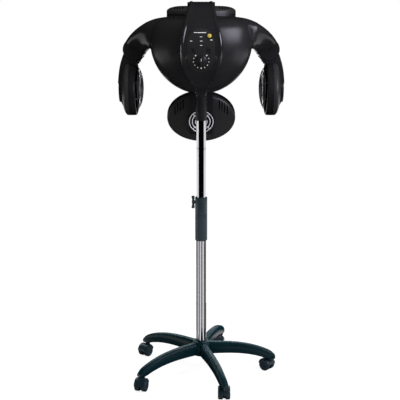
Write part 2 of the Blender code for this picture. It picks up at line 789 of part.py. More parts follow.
def bezel(name):
    """Front ring of a head; its lip carries the wire grille."""
    depth, wall, lip = BEZEL_DEPTH, BEZEL_WALL, BEZEL_LIP
    rows = [
        (0.0, -GAP / 2), (0.0, -0.74 * depth), (0.3 * wall, -depth), (wall + lip, -depth),
        (wall + lip, -depth + 0.007), (wall, -depth + 0.007), (wall, -GAP / 2),
    ]
    return loft(name, [head_oval(inset, z) for inset, z in rows], closed=True)


def lattice(bands, half_x, half_y, height_at, spokes, arcs, wire, centre=False):
    """A flat net of oval rings and straight spokes, as single faces.

    bands lists (outer inset, inner inset) of each ring, from the outside in.
    """
    shape = bmesh.new()
    angles = []
    for spoke in range(spokes):
        base = 2 * pi * spoke / spokes
        angles.append((base, -1))
        angles.append((base, 1))
        for step in range(1, arcs):
            angles.append((base + 2 * pi * step / (spokes * arcs), 0))
    insets = sorted({inset for band in bands for inset in band})
    count = len(angles)
    rows = []
    for inset in insets:
        row = []
        for angle, side in angles:
            reach = min(half_x, half_y) - inset
            turn = angle + side * wire / (2 * max(reach, wire))
            x, y = (half_x - inset) * cos(turn), (half_y - inset) * sin(turn)
            row.append(shape.verts.new((x, y, height_at(inset))))
        rows.append(row)
    solid = {(outer, inner) for outer, inner in bands}
    for level in range(len(insets) - 1):
        whole = (insets[level], insets[level + 1]) in solid
        for index in range(count):
            after = (index + 1) % count
            spoke_cell = angles[index][1] == -1
            if whole or spoke_cell:
                first, second = rows[level], rows[level + 1]
                shape.faces.new((first[index], first[after], second[after], second[index]))
    if centre:
        shape.faces.new(rows[-1])
    return shape


def thicken(name, shape, thickness):
    """Give a net its wire thickness with a Solidify modifier, and apply it."""
    piece = make_object(name, shape)
    modifier = piece.modifiers.new("wire", "SOLIDIFY")
    modifier.thickness = thickness
    modifier.offset = 0.0
    evaluated = piece.evaluated_get(bpy.context.evaluated_depsgraph_get())
    piece.data = bpy.data.meshes.new_from_object(evaluated)
    piece.modifiers.clear()
    return piece


def ring_bands(first, last, rings, wire, rim):
    """Insets of a rim and of evenly spaced rings inside it."""
    bands = [(first, first + rim)]
    pitch = (last - first - rim) / rings
    for index in range(1, rings + 1):
        inset = first + rim + pitch * index
        bands.append((inset - wire, inset))
    return bands


def grille(name):
    """Bulging front grille of oval rings on four ribs."""
    start = BEZEL_WALL + FACET_ROOM
    rim = BEZEL_LIP
    last = HEAD_HALF_WIDTH - 0.012
    seat = -BEZEL_DEPTH + 0.007 + GAP + GRILLE_WIRE / 2

    def height_at(inset):
        if inset <= start + rim + 1e-6:
            return seat
        share = (inset - start - rim) / (last - start - rim)
        return seat - GRILLE_BULGE * sqrt(max(1 - (1 - share) ** 2.4, 0.0))

    bands = ring_bands(start, last, GRILLE_RINGS, GRILLE_WIRE, rim)
    net = lattice(bands, HEAD_HALF_LENGTH, HEAD_HALF_WIDTH, height_at, 4, 3, GRILLE_WIRE, centre=True)
    return thicken(name, net, GRILLE_WIRE)


def intake_guard(name):
    """Chrome ring guard in the mouth of the intake."""
    radius = inside(GUARD_SEAT_RADIUS)
    level = RIB_HEIGHT - 0.0035 - GUARD_THICKNESS / 2
    bands = [(0.0, 0.0045), (0.0125, 0.0165), (0.0255, 0.0295)]
    net = lattice(bands, radius, radius, lambda inset: level, 4, 3, 0.003)
    return thicken(name, net, GUARD_THICKNESS)


def fan(name):
    """Axial fan: hub, shaft stub and twisted blades; spins on Z."""
    low, high = 0.0235, 0.0385
    rotor = turned(name, [
        (SHAFT_RADIUS, low - 0.010), (SHAFT_RADIUS, low), (FAN_HUB_RADIUS, low),
        (FAN_HUB_RADIUS, high),
    ], 10)
    tip = INTAKE_RADIUS - FAN_CLEARANCE
    middle = (low + high) / 2
    for index in range(FAN_BLADES):
        rings = []
        for radius, chord, pitch in ((FAN_HUB_RADIUS - 0.003, 0.014, 42), (tip, 0.024, 24)):
            run, rise = chord / 2 * cos(radians(pitch)), chord / 2 * sin(radians(pitch))
            half = 0.0008
            rings.append([Vector(p) for p in (
                (radius, -run, middle - rise - half), (radius, run, middle + rise - half),
                (radius, run, middle + rise + half), (radius, -run, middle - rise + half),
            )])
        blade = loft("blade", rings)
        join(rotor, reshape(blade, Matrix.Rotation(2 * pi * index / FAN_BLADES, 4, "Z")))
    return rotor


def motor(name):
    """Fan motor on three struts that end at the shroud."""
    top = 0.0235 - 0.0015
    low = top - MOTOR_HEIGHT
    can = turned(name, [
        (MOTOR_RADIUS - 0.002, low), (MOTOR_RADIUS, low + 0.002), (MOTOR_RADIUS, top),
    ], 12)
    for index in range(3):
        start, end = MOTOR_RADIUS - 0.002, inside(INTAKE_RADIUS)
        strut = block("strut", (start, -0.003, low + 0.003), (end, 0.003, low + 0.009))
        join(can, reshape(strut, Matrix.Rotation(2 * pi * (index + 0.25) / 3, 4, "Z")))
    return cut(can, cylinder("shaft_bore", SHAFT_RADIUS + GAP, top - 0.012, top + 0.01, 12))


def heater(name):
    """Heating plate on the bezel's back: a mica oval with ring slots for the air."""
    start = HEAD_WALL + FACET_ROOM
    level = (GAP + HEATER_THICKNESS) / 2
    bands = [(start, start + 0.010), (start + 0.016, start + 0.042), (start + 0.048, start + 0.049)]
    net = lattice(bands, HEAD_HALF_LENGTH, HEAD_HALF_WIDTH, lambda inset: level, 4, 3, 0.008, centre=True)
    return thicken(name, net, HEATER_THICKNESS)


# ---------------------------------------------------------------- hood
def neck_radius():
    return UPPER_TUBE_RADIUS + GAP + NECK_WALL


def neck_bracket():
    """Pole socket with the open-fronted frame that carries the four arms."""
    radius = neck_radius()
    bracket = turned("neck_bracket", [
        (radius - 0.001, NECK_BOTTOM), (radius, NECK_BOTTOM + 0.002), (radius, NECK_TOP),
    ], TUBE_SIDES)
    half, back, wall = FRAME_HALF_WIDTH, DOME_BACK_Y - GAP, FRAME_WALL
    frame = block("frame", (-half, FRAME_FRONT, FRAME_BOTTOM), (half, back, FRAME_TOP))
    low_corner = (wall - half, FRAME_FRONT - 0.01, FRAME_BOTTOM + wall)
    join(bracket, cut(frame, block("room", low_corner, (half - wall, back - wall, FRAME_TOP - wall))))
    cut(bracket, block("trim", low_corner, (half - wall, back - wall, NECK_TOP + 0.01)))
    bore = cylinder("socket", UPPER_TUBE_RADIUS + GAP, NECK_BOTTOM - 0.01, neck_seat(), TUBE_SIDES)
    return cut(bracket, bore)


def dome_ring(scale, y, wall=0.0, grow=0.0, sides=28):
    """One outline of the dome, flattened at its top, at a depth."""
    ring = []
    for index in range(sides):
        angle = 2 * pi * index / sides
        x = (DOME_HALF_WIDTH - wall + grow) * scale * cos(angle)
        z = (DOME_HALF_HEIGHT - wall + grow) * scale * sin(angle)
        flat = DOME_FLAT_HEIGHT - wall + grow
        if z > 0:
            z = flat * tanh(z / flat)
        ring.append(Vector((x, y, DOME_CENTRE_Z + z)))
    return ring


def dome_solid(name, wall=0.0, grow=0.0, back=0.0):
    depth = DOME_DEPTH - wall + grow
    scales = (1.0, 0.97, 0.88, 0.72, 0.50, 0.22)
    rings = []
    if back:
        rings.append(dome_ring(1.0, DOME_BACK_Y + back, wall, grow))
    rings += [dome_ring(s, DOME_BACK_Y - depth * sqrt(1 - s * s), wall, grow) for s in scales]
    return loft(name, rings)


def dome_shell():
    shell = dome_solid("dome_shell")
    return cut(shell, dome_solid("dome_space", wall=DOME_WALL, back=0.01))


def back_cover():
    """Crowned cover over the open back of the dome, with cooling louvres."""
    wall, crown, back = BACK_COVER_WALL, BACK_COVER_CROWN, DOME_BACK_Y + GAP
    outer = ((1.0, 0.0), (1.0, wall), (0.93, wall + 0.6 * crown), (0.70, wall + crown))
    cover = loft("back_cover", [dome_ring(scale, back + rise) for scale, rise in outer])
    inner = ((0.97, -0.01), (0.97, 0.2 * wall), (0.91, 0.6 * crown), (0.68, crown))
    cut(cover, loft("cover_space", [dome_ring(scale, back + rise) for scale, rise in inner]))
    louvres = bmesh.new()
    for side in (-1, 1):
        for index in range(LOUVRE_COUNT):
            box = bmesh.ops.create_cube(louvres, size=1.0)["verts"]
            bmesh.ops.scale(louvres, vec=(LOUVRE_LENGTH, 0.06, LOUVRE_HEIGHT), verts=box)
            z = DOME_CENTRE_Z - LOUVRE_DROP - LOUVRE_PITCH * index
            bmesh.ops.translate(louvres, vec=(side * LOUVRE_X, back + crown, z), verts=box)
    return cut(cover, make_object("louvres", louvres))


def spine_path():
    """Outer line of the spine cover: (y, z, half width, depth) from the neck to the top."""
    bottom = neck_radius()
    front = DOME_BACK_Y - DOME_DEPTH - 0.022
    width = SPINE_HALF_WIDTH
    z_mid = DOME_CENTRE_Z
    rows = [
        (-bottom - 0.003, z_mid - 0.212, bottom, 0.020),
        (-bottom - 0.008, z_mid - 0.194, bottom * 1.04, 0.026),
        (0.58 * front, z_mid - 0.160, 0.54 * width, 0.045),
        (0.84 * front, z_mid - 0.108, 0.85 * width, 0.045),
        (0.98 * front, z_mid - 0.045, 1.00 * width, 0.040),
        (front, z_mid + 0.012, 0.98 * width, 0.040),
        (0.88 * front, z_mid + 0.068, 0.83 * width, 0.045),
        (0.58 * front, z_mid + 0.118, 0.68 * width, 0.060),
        (0.30 * front, z_mid + 0.139, 0.61 * width, 0.060),
        (0.006, z_mid + 0.149, 0.60 * width, 0.058),
    ]
    return rows


def spine_line(count):
    """The spine's outer line, resampled: lists of y, z, half width and depth."""
    rows = spine_path()
    stations = [float(index) for index in range(len(rows))]
    return [smooth_values(stations, [row[column] for row in rows], count) for column in range(4)]


def outward_at(ys, zs, index):
    """Direction out of the spine's line at a station."""
    before, after = max(index - 1, 0), min(index + 1, len(ys) - 1)
    run = Vector((0, ys[after] - ys[before], zs[after] - zs[before])).normalized()
    return Vector((0, -run.z, run.y))


def spine_channel(name, count=15):
    """Swept channel with a rim round its front face; its sides run down to the dome."""
    ys, zs, widths, depths = spine_line(count)
    rings = []
    for index in range(count):
        outward = outward_at(ys, zs, index)
        centre = Vector((0, ys[index], zs[index]))
        half, depth = widths[index], depths[index]
        chamfer = min(0.012, 0.30 * half)
        wall = SPINE_WALL
        section = [
            (half, depth), (half, chamfer), (half - 0.55 * chamfer, 0.25 * chamfer), (half - chamfer, 0.0),
            (half - 1.35 * chamfer, SPINE_LIP),
        ]
        side = half - 0.6 * wall
        hollow = [(half - 1.5 * chamfer, wall), (side, wall + 0.3 * chamfer), (side, depth)]
        right = [centre + Vector((x, 0, 0)) - outward * inward for x, inward in section]
        under = [centre + Vector((x, 0, 0)) - outward * inward for x, inward in hollow]
        left = [Vector((-p.x, p.y, p.z)) for p in reversed(right)]
        left_under = [Vector((-p.x, p.y, p.z)) for p in reversed(under)]
        rings.append(right + left + left_under + under)
    return loft(name, rings)


def skin_slab(name, front, back):
    """A slab between two offsets of the spine's line, over the height of the panel."""
    ys, zs, _, _ = spine_line(30)
    reach = PLATE_HALF_HEIGHT + 0.022
    rings = []
    for index in range(30):
        if abs(zs[index] - PLATE_CENTRE_Z) < reach:
            outward = outward_at(ys, zs, index)
            centre = Vector((0, ys[index], zs[index]))
            side = Vector((SPINE_HALF_WIDTH, 0, 0))
            rings.append([
                centre + outward * front - side, centre + outward * front + side,
                centre + outward * back + side, centre + outward * back - side,
            ])
    return loft(name, rings)


def plate_prism(name, inset=0.0, front=-0.25, back=-0.02):
    outline = superellipse(PLATE_HALF_WIDTH - inset, PLATE_HALF_HEIGHT - inset, 20, 2.5)
    return extruded(name, [(x, PLATE_CENTRE_Z + z) for x, z in outline], front, back, "Y")


def panel_point(z):
    """Where the panel's surface is at a height: its y, and its tilt in radians."""
    ys, zs, _, _ = spine_line(61)
    best = min(range(1, 60), key=lambda index: abs(zs[index] - z))
    share = (z - zs[best]) / (zs[best + 1] - zs[best - 1])
    slope = (ys[best + 1] - ys[best - 1]) / (zs[best + 1] - zs[best - 1])
    y = ys[best] + (ys[best + 1] - ys[best - 1]) * share
    return y + SPINE_LIP, slope


def panel_frame(x, z):
    """Matrix with local +z out of the panel and local y up it."""
    y, slope = panel_point(z)
    up = Vector((0, slope, 1)).normalized()
    out = Vector((0, -up.z, up.y))
    across = up.cross(out)
    turn = Matrix((across, up, out)).transposed().to_4x4()
    return Matrix.Translation((x, y, z)) @ turn


def spine_cover():
    cover = spine_channel("spine_cover")
    cut(cover, dome_solid("dome_form", grow=GAP, back=0.05))
    neck = cylinder("neck_form", neck_radius() + GAP, NECK_BOTTOM - 0.02, NECK_TOP + 0.04, TUBE_SIDES)
    cut(cover, neck)
    floor = SPINE_LIP + PLATE_THICKNESS + GAP
    cut(cover, keep(plate_prism("recess", inset=-GAP), skin_slab("skin", 0.02, -floor)))
    return cut(cover, plate_prism("window", inset=WINDOW_MARGIN))


def control_plate():
    plate = keep(plate_prism("control_plate"), skin_slab("skin", -SPINE_LIP, -SPINE_LIP - PLATE_THICKNESS))
    shaft = cylinder("shaft_hole", SHAFT_RADIUS + 0.001 + GAP, -0.03, 0.03, 12)
    cut(plate, reshape(shaft, panel_frame(0.0, KNOB_Z)))
    for side in (-1, 1):
        half = ROCKER_HALF_WIDTH + GAP
        high = ROCKER_RADIUS + 2 * GAP
        window = block("rocker_window", (-half, -high, -0.02), (half, high, 0.02))
        cut(plate, reshape(window, panel_frame(side * ROCKER_X, ROCKER_Z)))
    lamp = cylinder("lamp_hole", LAMP_STEM_RADIUS + GAP, -0.02, 0.02, 14)
    return cut(plate, reshape(lamp, panel_frame(LAMP_X, LAMP_Z)))


def timer_knob():
    """Timer knob with a skirt, a grip bar and its shaft; turns on Z."""
    grip = 0.66 * KNOB_RADIUS
    knob = turned("timer_knob", [
        (SHAFT_RADIUS, -0.014), (SHAFT_RADIUS, 0.0016), (KNOB_RADIUS, 0.0016), (KNOB_RADIUS, KNOB_SKIRT),
        (grip, KNOB_SKIRT + 0.001), (grip * 0.88, KNOB_HEIGHT),
    ], 16)
    low_corner = (-0.0035, -0.93 * KNOB_RADIUS, KNOB_SKIRT - 0.001)
    bar = block("bar", low_corner, (0.0035, 0.80 * KNOB_RADIUS, KNOB_HEIGHT + 0.003))
    return join(knob, bar)


def timer_body():
    """Timer movement behind the plate, bored for the knob's shaft."""
    half = TIMER_SIZE / 2
    top = -PLATE_THICKNESS - 0.0012
    body = block("timer_body", (-half, -half, top - TIMER_DEPTH), (half, half, top))
    collar_piece = cylinder("collar_ring", SHAFT_RADIUS + 0.0035, top - 0.005, -PLATE_THICKNESS - 2 * GAP, 14)
    join(body, collar_piece)
    return cut(body, cylinder("bore", SHAFT_RADIUS + GAP, -0.0155, 0.01, 14))


def rocker(name):
    """Rocker switch key; its hinge is X through the origin, behind the plate."""
    back = arc((0.0, 0.0), ROCKER_RADIUS, 200, 340, 8)
    front_z = 0.0072
    outline = back + [
        (ROCKER_RADIUS * 0.92, 0.004), (ROCKER_RADIUS * 0.80, front_z), (0.0, front_z - 0.0018),
        (-ROCKER_RADIUS * 0.80, front_z - 0.0006), (-ROCKER_RADIUS * 0.92, 0.004),
    ]
    return extruded(name, outline, -ROCKER_HALF_WIDTH, ROCKER_HALF_WIDTH, "X")


def indicator_lamp():
    return turned("indicator_lamp", [
        (LAMP_STEM_RADIUS, -0.012), (LAMP_STEM_RADIUS, 0.0008), (LAMP_RADIUS, 0.0008), (LAMP_RADIUS, 0.0024),
        (LAMP_RADIUS * 0.86, 0.0046), (LAMP_RADIUS * 0.5, 0.0062),
    ], 16)


# ---------------------------------------------------------------- arms
def arm_section(centre, across, thick, half_width, half_thick):
    """A rounded rectangle; across is the width's direction, thick the other."""
    corner = min(0.35 * half_thick, 0.4 * half_width)
    pairs = [
        (half_width, half_thick - corner), (half_width - corner, half_thick),
        (corner - half_width, half_thick), (-half_width, half_thick - corner),
        (-half_width, corner - half_thick), (corner - half_width, -half_thick),
        (half_width - corner, -half_thick), (half_width, corner - half_thick),
    ]
    return [centre + across * w + thick * t for w, t in pairs]


def elbow_barrel(name, frame, grow=0.0):
    """The arm's round end, on the elbow's axis."""
    half = RIB_HALF_WIDTH + grow
    barrel = cylinder(name, ELBOW_RADIUS + grow, -half, half, ELBOW_SIDES)
    return reshape(barrel, frame @ Matrix.Rotation(pi / 2, 4, "Y"))


def fit_elbow(arm, frame):
    """Slot the arm's round end for the head's tongue, and put the pin across the slot."""
    half = ELBOW_TONGUE_HALF_WIDTH + GAP
    mouth = 1.15 * ELBOW_RADIUS / cos(radians(38))
    outline = arc((0.0, 0.0), ELBOW_TONGUE_RADIUS + 2 * GAP, 120, -120, 9)
    outline += [
        (mouth * cos(radians(180 + 38)), mouth * sin(radians(180 + 38))),
        (mouth * cos(radians(180 - 38)), mouth * sin(radians(180 - 38))),
    ]
    cut(arm, reshape(extruded("slot", outline, -half, half, "X"), frame))
    pin = cylinder("pin", ELBOW_PIN_RADIUS, -half - 0.004, half + 0.004, 12)
    return join(arm, reshape(pin, frame @ Matrix.Rotation(pi / 2, 4, "Y")))


def side_head_frame(side):
    """Head frame of the left (-1) or right (+1) head."""
    out = Vector((side, 0, 0))
    up = Vector((0, 0, 1))
    return head_frame(Vector((side * SIDE_HEAD_X, SIDE_HEAD_Y, SIDE_HEAD_Z)), out, up)


def head_frame(centre, out, up):
    across = up.cross(out)
    turn = Matrix((across, up, out)).transposed().to_4x4()
    return Matrix.Translation(centre) @ turn


def top_head_frame():
    return head_frame(Vector((0, TOP_HEAD_Y, TOP_HEAD_Z)), Vector((0, 0, 1)), Vector((0, -1, 0)))


def nape_head_frame():
    tilt = radians(NAPE_TILT)
    out = Vector((0, -cos(tilt), -sin(tilt)))
    up = Vector((0, -sin(tilt), cos(tilt)))
    return head_frame(Vector((0, NAPE_HEAD_Y, NAPE_HEAD_Z)), out, up)


def elbow_frame(frame):
    """The elbow's own frame: same directions as the head's, on the elbow's axis."""
    return frame @ Matrix.Translation((0, elbow_lift(), ELBOW_OUTWARD))


def side_arm_rows(side):
    """Centres, thickness directions and half sizes from the frame out to the elbow."""
    elbow = elbow_frame(side_head_frame(side)).translation
    root_x = side * (FRAME_HALF_WIDTH + GAP)
    exit_x = side * (DOME_HALF_WIDTH * 1.015)
    root_y = DOME_BACK_Y - 0.004
    rows = []
    for share, thick, drop in SIDE_ARM_ROOT_ROWS:
        z = SIDE_ARM_TOP - thick - drop
        centre = Vector((root_x + (exit_x - root_x) * share, root_y + 0.018 * share**2, z))
        rows.append((centre, Vector((0.10 * side * share**2, 0, 1)).normalized(), SIDE_ARM_HALF_WIDTH, thick))
    shoulder = rows[-1][0]
    reach = elbow - shoulder
    for share_x, share_y, share_z, lean_x, thick in SIDE_ARM_BEND_ROWS:
        centre = shoulder + Vector((reach.x * share_x, reach.y * share_y, reach.z * share_z))
        lean = Vector((side * lean_x, 0, sqrt(1 - lean_x**2)))
        rows.append((centre, lean, SIDE_ARM_HALF_WIDTH, thick))
    lean = Vector((side * SIDE_ARM_END_LEAN, 0, sqrt(1 - SIDE_ARM_END_LEAN**2)))
    half_thick = ELBOW_RADIUS + 0.5 * ELBOW_LOBE
    rows.append((elbow - 0.5 * ELBOW_LOBE * lean, lean, RIB_HALF_WIDTH - 0.001, half_thick))
    return rows


def side_arm(name, side, grow=0.0):
    rows = side_arm_rows(side)
    across = Vector((0, 1, 0))
    rings = []
    for centre, thick, half_width, half_thick in rows:
        rings.append(arm_section(centre, across, thick, half_width + grow, half_thick + grow))
    if grow:
        rings.insert(0, [point - Vector((side * 0.03, 0, 0)) for point in rings[0]])
    arm = loft(name, rings)
    frame = elbow_frame(side_head_frame(side))
    join(arm, elbow_barrel("barrel", frame, grow))
    if grow:
        return arm
    hollow = []
    for index, (centre, thick, half_width, half_thick) in enumerate(rows[:7]):
        if index == 0:
            centre = centre - Vector((side * 0.01, 0, 0))
        hollow.append(arm_section(centre, across, thick, half_width - ARM_WALL, half_thick - ARM_WALL))
    return fit_elbow(cut(arm, loft("duct", hollow)), frame)


def top_arm(name, grow=0.0):
    """Short arm that stands on the frame and rises through the dome's top."""
    frame = elbow_frame(top_head_frame())
    axis = frame.translation
    low = FRAME_TOP + GAP - (0.02 if grow else 0.0)
    half = RIB_HALF_WIDTH - 0.001 + grow
    front, back = axis.y - ELBOW_RADIUS + 0.003 - grow, axis.y - 0.10 * ELBOW_RADIUS + grow
    outline = [
        (front, low), (back, low), (back, axis.z), (front, axis.z),
    ]
    arm = extruded(name, outline, -half, half, "X")
    join(arm, elbow_barrel("barrel", frame, grow))
    if grow:
        return arm
    high_corner = (half - ARM_WALL, back - ARM_WALL, axis.z - 0.55 * ELBOW_RADIUS)
    duct = block("duct", (ARM_WALL - half, front + ARM_WALL, low - 0.01), high_corner)
    return fit_elbow(cut(arm, duct), frame)


def nape_arm(name, grow=0.0):
    """Short arm that leaves the frame's back and carries the nape head."""
    frame = elbow_frame(nape_head_frame())
    axis = frame.translation
    front = DOME_BACK_Y + (0.0 if not grow else -0.02)
    half = RIB_HALF_WIDTH - 0.001 + grow
    low, high = axis.z - 0.2 * ELBOW_RADIUS, axis.z + 2.2 * ELBOW_RADIUS
    outline = [
        (front, low + 0.014 - grow), (axis.y, low - grow),
        (axis.y + 0.90 * ELBOW_RADIUS + grow, axis.z + 0.1 * ELBOW_RADIUS),
        (axis.y + 0.60 * ELBOW_RADIUS + grow, axis.z + 0.95 * ELBOW_RADIUS + grow),
        (DOME_BACK_Y + 0.022, high + grow), (front, high + grow),
    ]
    arm = extruded(name, outline, -half, half, "X")
    join(arm, elbow_barrel("barrel", frame, grow))
    if grow:
        return arm
    high_corner = (half - ARM_WALL, axis.y - 0.35 * ELBOW_RADIUS, high - 3 * ARM_WALL)
    duct = block("duct", (ARM_WALL - half, front - 0.01, axis.z + 0.45 * ELBOW_RADIUS), high_corner)
    return fit_elbow(cut(arm, duct), frame)


def top_elbow_sweep():
    """The space in which the top head's cup turns, cut from the dome's top and the back cover."""
    frame = elbow_frame(top_head_frame())
    reach = ELBOW_RADIUS + ELBOW_LOBE + 0.002
    outline = [(0.0, 0.0)]
    outline += [(reach * cos(radians(a)), reach * sin(radians(a))) for a in (88, 120, 150, 180, 210, 240, 272)]
    half = RIB_HALF_WIDTH + 0.0015
    return reshape(extruded("sweep", outline, -half, half, "X"), frame)


# ---------------------------------------------------------------- assembly
def build_base(plastic, chrome, steel, grey):
    stand = empty_at("stand", Matrix.Identity(4))
    place(dress(star_base(), plastic), stand)
    place(dress(foot_bolt(), steel), stand)
    place(dress(lower_tube(), chrome), stand)
    place(dress(collar(), grey), stand)
    place(dress(wing_screw(), grey), stand, Matrix.Translation((0, 0, screw_height())))
    housing = dress(caster_housing("caster_housing_1"), plastic)
    wheels = dress(caster_wheels("caster_wheels_1"), grey)
    for index in range(ARM_COUNT):
        number = index + 1
        angle = 2 * pi * index / ARM_COUNT
        spot = Matrix.Rotation(angle, 4, "Z") @ Matrix.Translation((ARM_REACH, 0, 0))
        heading = Matrix.Rotation(radians(CASTER_TURNS[index]), 4, "Z")
        swivel = empty_at(f"swivel_{number}", Matrix.Translation(spot.translation) @ heading, stand)
        if index:
            housing = copy_piece(housing, f"caster_housing_{number}")
            wheels = copy_piece(wheels, f"caster_wheels_{number}")
        place(housing, swivel)
        place(wheels, swivel, Matrix.Translation((CASTER_TRAIL, 0, WHEEL_RADIUS)))
    return stand


def build_mast(stand, chrome, grey):
    mast = empty_at("mast", Matrix.Identity(4), stand)
    place(dress(upper_tube(), chrome), mast)
    place(dress(guide_bush(), grey), mast)
    return mast


def build_hood(mast, gloss, satin, amber, steel):
    hood = empty_at("hood", Matrix.Identity(4), mast)
    place(dress(neck_bracket(), satin), hood)
    dome = dress(dome_shell(), gloss)
    cover = dress(back_cover(), satin)
    spine = dress(spine_cover(), gloss)
    arms = (
        ("arm_left", lambda name, grow=0.0: side_arm(name, -1, grow)),
        ("arm_right", lambda name, grow=0.0: side_arm(name, 1, grow)),
        ("arm_top", top_arm),
        ("arm_nape", nape_arm),
    )
    for name, maker in arms:
        for wall in (dome, cover, spine):
            cut(wall, maker("space", GAP))
        place(dress(maker(name), gloss), hood)
    for wall in (dome, cover):
        cut(wall, top_elbow_sweep())
        cut(wall, cylinder("neck_form", neck_radius() + GAP, NECK_BOTTOM - 0.02, NECK_TOP + 0.02, TUBE_SIDES))
    cut(dome, plate_prism("window", inset=WINDOW_MARGIN))
    for wall in (dome, cover, spine):
        place(dress(wall, wall.data.materials[0]), hood)
    place(dress(control_plate(), satin), hood)
    place(dress(timer_body(), steel), hood, panel_frame(0.0, KNOB_Z))
    place(dress(timer_knob(), satin), hood, panel_frame(0.0, KNOB_Z))
    place(dress(indicator_lamp(), amber), hood, panel_frame(LAMP_X, LAMP_Z))
    for name, side in (("rocker_left", -1), ("rocker_right", 1)):
        key_frame = panel_frame(side * ROCKER_X, ROCKER_Z) @ Matrix.Translation((0, 0, -0.0035))
        place(dress(rocker(name), gloss), hood, key_frame)
    return hood


def build_heads(hood, gloss, satin, chrome, grey, steel):
    makers = (
        ("head_shell", head_shell, gloss), ("bezel", bezel, satin), ("grille", grille, grey),
        ("intake_guard", intake_guard, chrome), ("fan", fan, satin), ("motor", motor, steel),
        ("heater", heater, steel),
    )
    frames = (
        ("left", side_head_frame(-1)), ("right", side_head_frame(1)),
        ("top", top_head_frame()), ("nape", nape_head_frame()),
    )
    first = {kind: dress(maker(f"{kind}_left"), material) for kind, maker, material in makers}
    to_head = Matrix.Translation((0, -elbow_lift(), -ELBOW_OUTWARD))
    for place_name, frame in frames:
        elbow = empty_at(f"elbow_{place_name}", elbow_frame(frame), hood)
        for kind, _, _ in makers:
            piece = first[kind] if place_name == "left" else copy_piece(first[kind], f"{kind}_{place_name}")
            place(piece, elbow, to_head)


clear_scene()
black_gloss = finish("black_gloss", (0.012, 0.012, 0.014), 0.22)
black_satin = finish("black_satin", (0.020, 0.020, 0.022), 0.42)
base_plastic = finish("base_plastic", (0.016, 0.028, 0.034), 0.35)
grey_plastic = finish("grey_plastic", (0.075, 0.095, 0.105), 0.45)
bright_chrome = finish("bright_chrome", (0.75, 0.75, 0.76), 0.08, 1.0)
bare_steel = finish("bare_steel", (0.45, 0.45, 0.45), 0.35, 1.0)
wire_grey = finish("wire_grey", (0.16, 0.16, 0.165), 0.40, 0.6)
amber_lens = finish("amber_lens", (0.65, 0.38, 0.05), 0.15)

stand_root = build_base(base_plastic, bright_chrome, bare_steel, grey_plastic)
mast_root = build_mast(stand_root, bright_chrome, grey_plastic)
hood_root = build_hood(mast_root, black_gloss, black_satin, amber_lens, bare_steel)
build_heads(hood_root, black_gloss, black_satin, bright_chrome, wire_grey, bare_steel)
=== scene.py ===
"""Looks of the four-head warm-air dryer: finishes, rounded mouldings and fine pieces."""

import json
from math import cos, pi, radians, sin, sqrt, tanh

import bmesh
import bpy
from mathutils import Matrix, Vector

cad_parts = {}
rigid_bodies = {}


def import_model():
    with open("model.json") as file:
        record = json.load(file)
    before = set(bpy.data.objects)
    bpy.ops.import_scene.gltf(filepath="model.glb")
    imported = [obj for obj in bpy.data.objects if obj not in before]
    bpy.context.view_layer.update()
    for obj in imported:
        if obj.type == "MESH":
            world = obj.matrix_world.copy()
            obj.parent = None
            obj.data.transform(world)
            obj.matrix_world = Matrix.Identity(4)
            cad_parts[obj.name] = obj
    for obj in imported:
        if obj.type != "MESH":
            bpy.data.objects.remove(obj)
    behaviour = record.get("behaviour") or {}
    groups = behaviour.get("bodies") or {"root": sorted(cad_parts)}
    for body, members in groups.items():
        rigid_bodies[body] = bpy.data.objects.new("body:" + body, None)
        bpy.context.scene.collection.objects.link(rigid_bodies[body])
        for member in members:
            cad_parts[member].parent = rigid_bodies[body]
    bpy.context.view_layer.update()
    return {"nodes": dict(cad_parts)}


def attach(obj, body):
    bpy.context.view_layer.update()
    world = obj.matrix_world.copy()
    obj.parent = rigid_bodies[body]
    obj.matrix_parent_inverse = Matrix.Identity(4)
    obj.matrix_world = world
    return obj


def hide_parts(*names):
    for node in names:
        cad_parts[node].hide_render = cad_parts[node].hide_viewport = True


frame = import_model()

# ---------------------------------------------------------------- five-arm base
# A star base moulded in one piece with its hub: dark green-black nylon with glass fibre.
# Each arm is a deep slab with chamfered shoulders and a narrow ridge that droops at its
# end over the caster. The chrome tube stands in the hub and is bolted from below.
ARM_REACH, ARM_OVERHANG = 0.292, 0.021
HUB_RADIUS, HUB_BORE = 0.0363, 0.0214
HUB_LOW, HUB_TOP = 0.080, 0.138
FOOT_TOP, FOOT_DEPTH, FOOT_END_DEPTH = 0.134, 0.050, 0.022
FOOT_ROOT_HALF, FOOT_END_HALF = 0.019, 0.0145
PAD = 0.0574  # height of the flat that rests on the caster
SHARP = 38.0  # degrees past which an edge stays sharp, unless a piece says otherwise


def linear(hex_colour):
    """An sRGB hex value as the linear colour that a shader's socket takes."""
    channels = [int(hex_colour[i:i + 2], 16) / 255 for i in (1, 3, 5)]
    return [c / 12.92 if c <= 0.04045 else ((c + 0.055) / 1.055) ** 2.4 for c in channels] + [1.0]


def add_node(owner, kind, settings=None, links=None):
    """Adds a node, sets its properties or sockets, and links other nodes' outputs to it."""
    node = owner.node_tree.nodes.new(kind)
    for name, value in (settings or {}).items():
        if isinstance(name, int) or name in node.inputs:
            node.inputs[name].default_value = value
        else:
            setattr(node, name, value)
    for name, (source, output) in (links or {}).items():
        owner.node_tree.links.new(source.outputs[output], node.inputs[name])
    return node


def new_finish(name, values):
    """A new material and its shader, with plain values on the shader's own sockets."""
    material = bpy.data.materials.new(name)
    material.use_nodes = True
    shader = material.node_tree.nodes["Principled BSDF"]
    for socket, value in values.items():
        shader.inputs[socket].default_value = value
    return material, shader


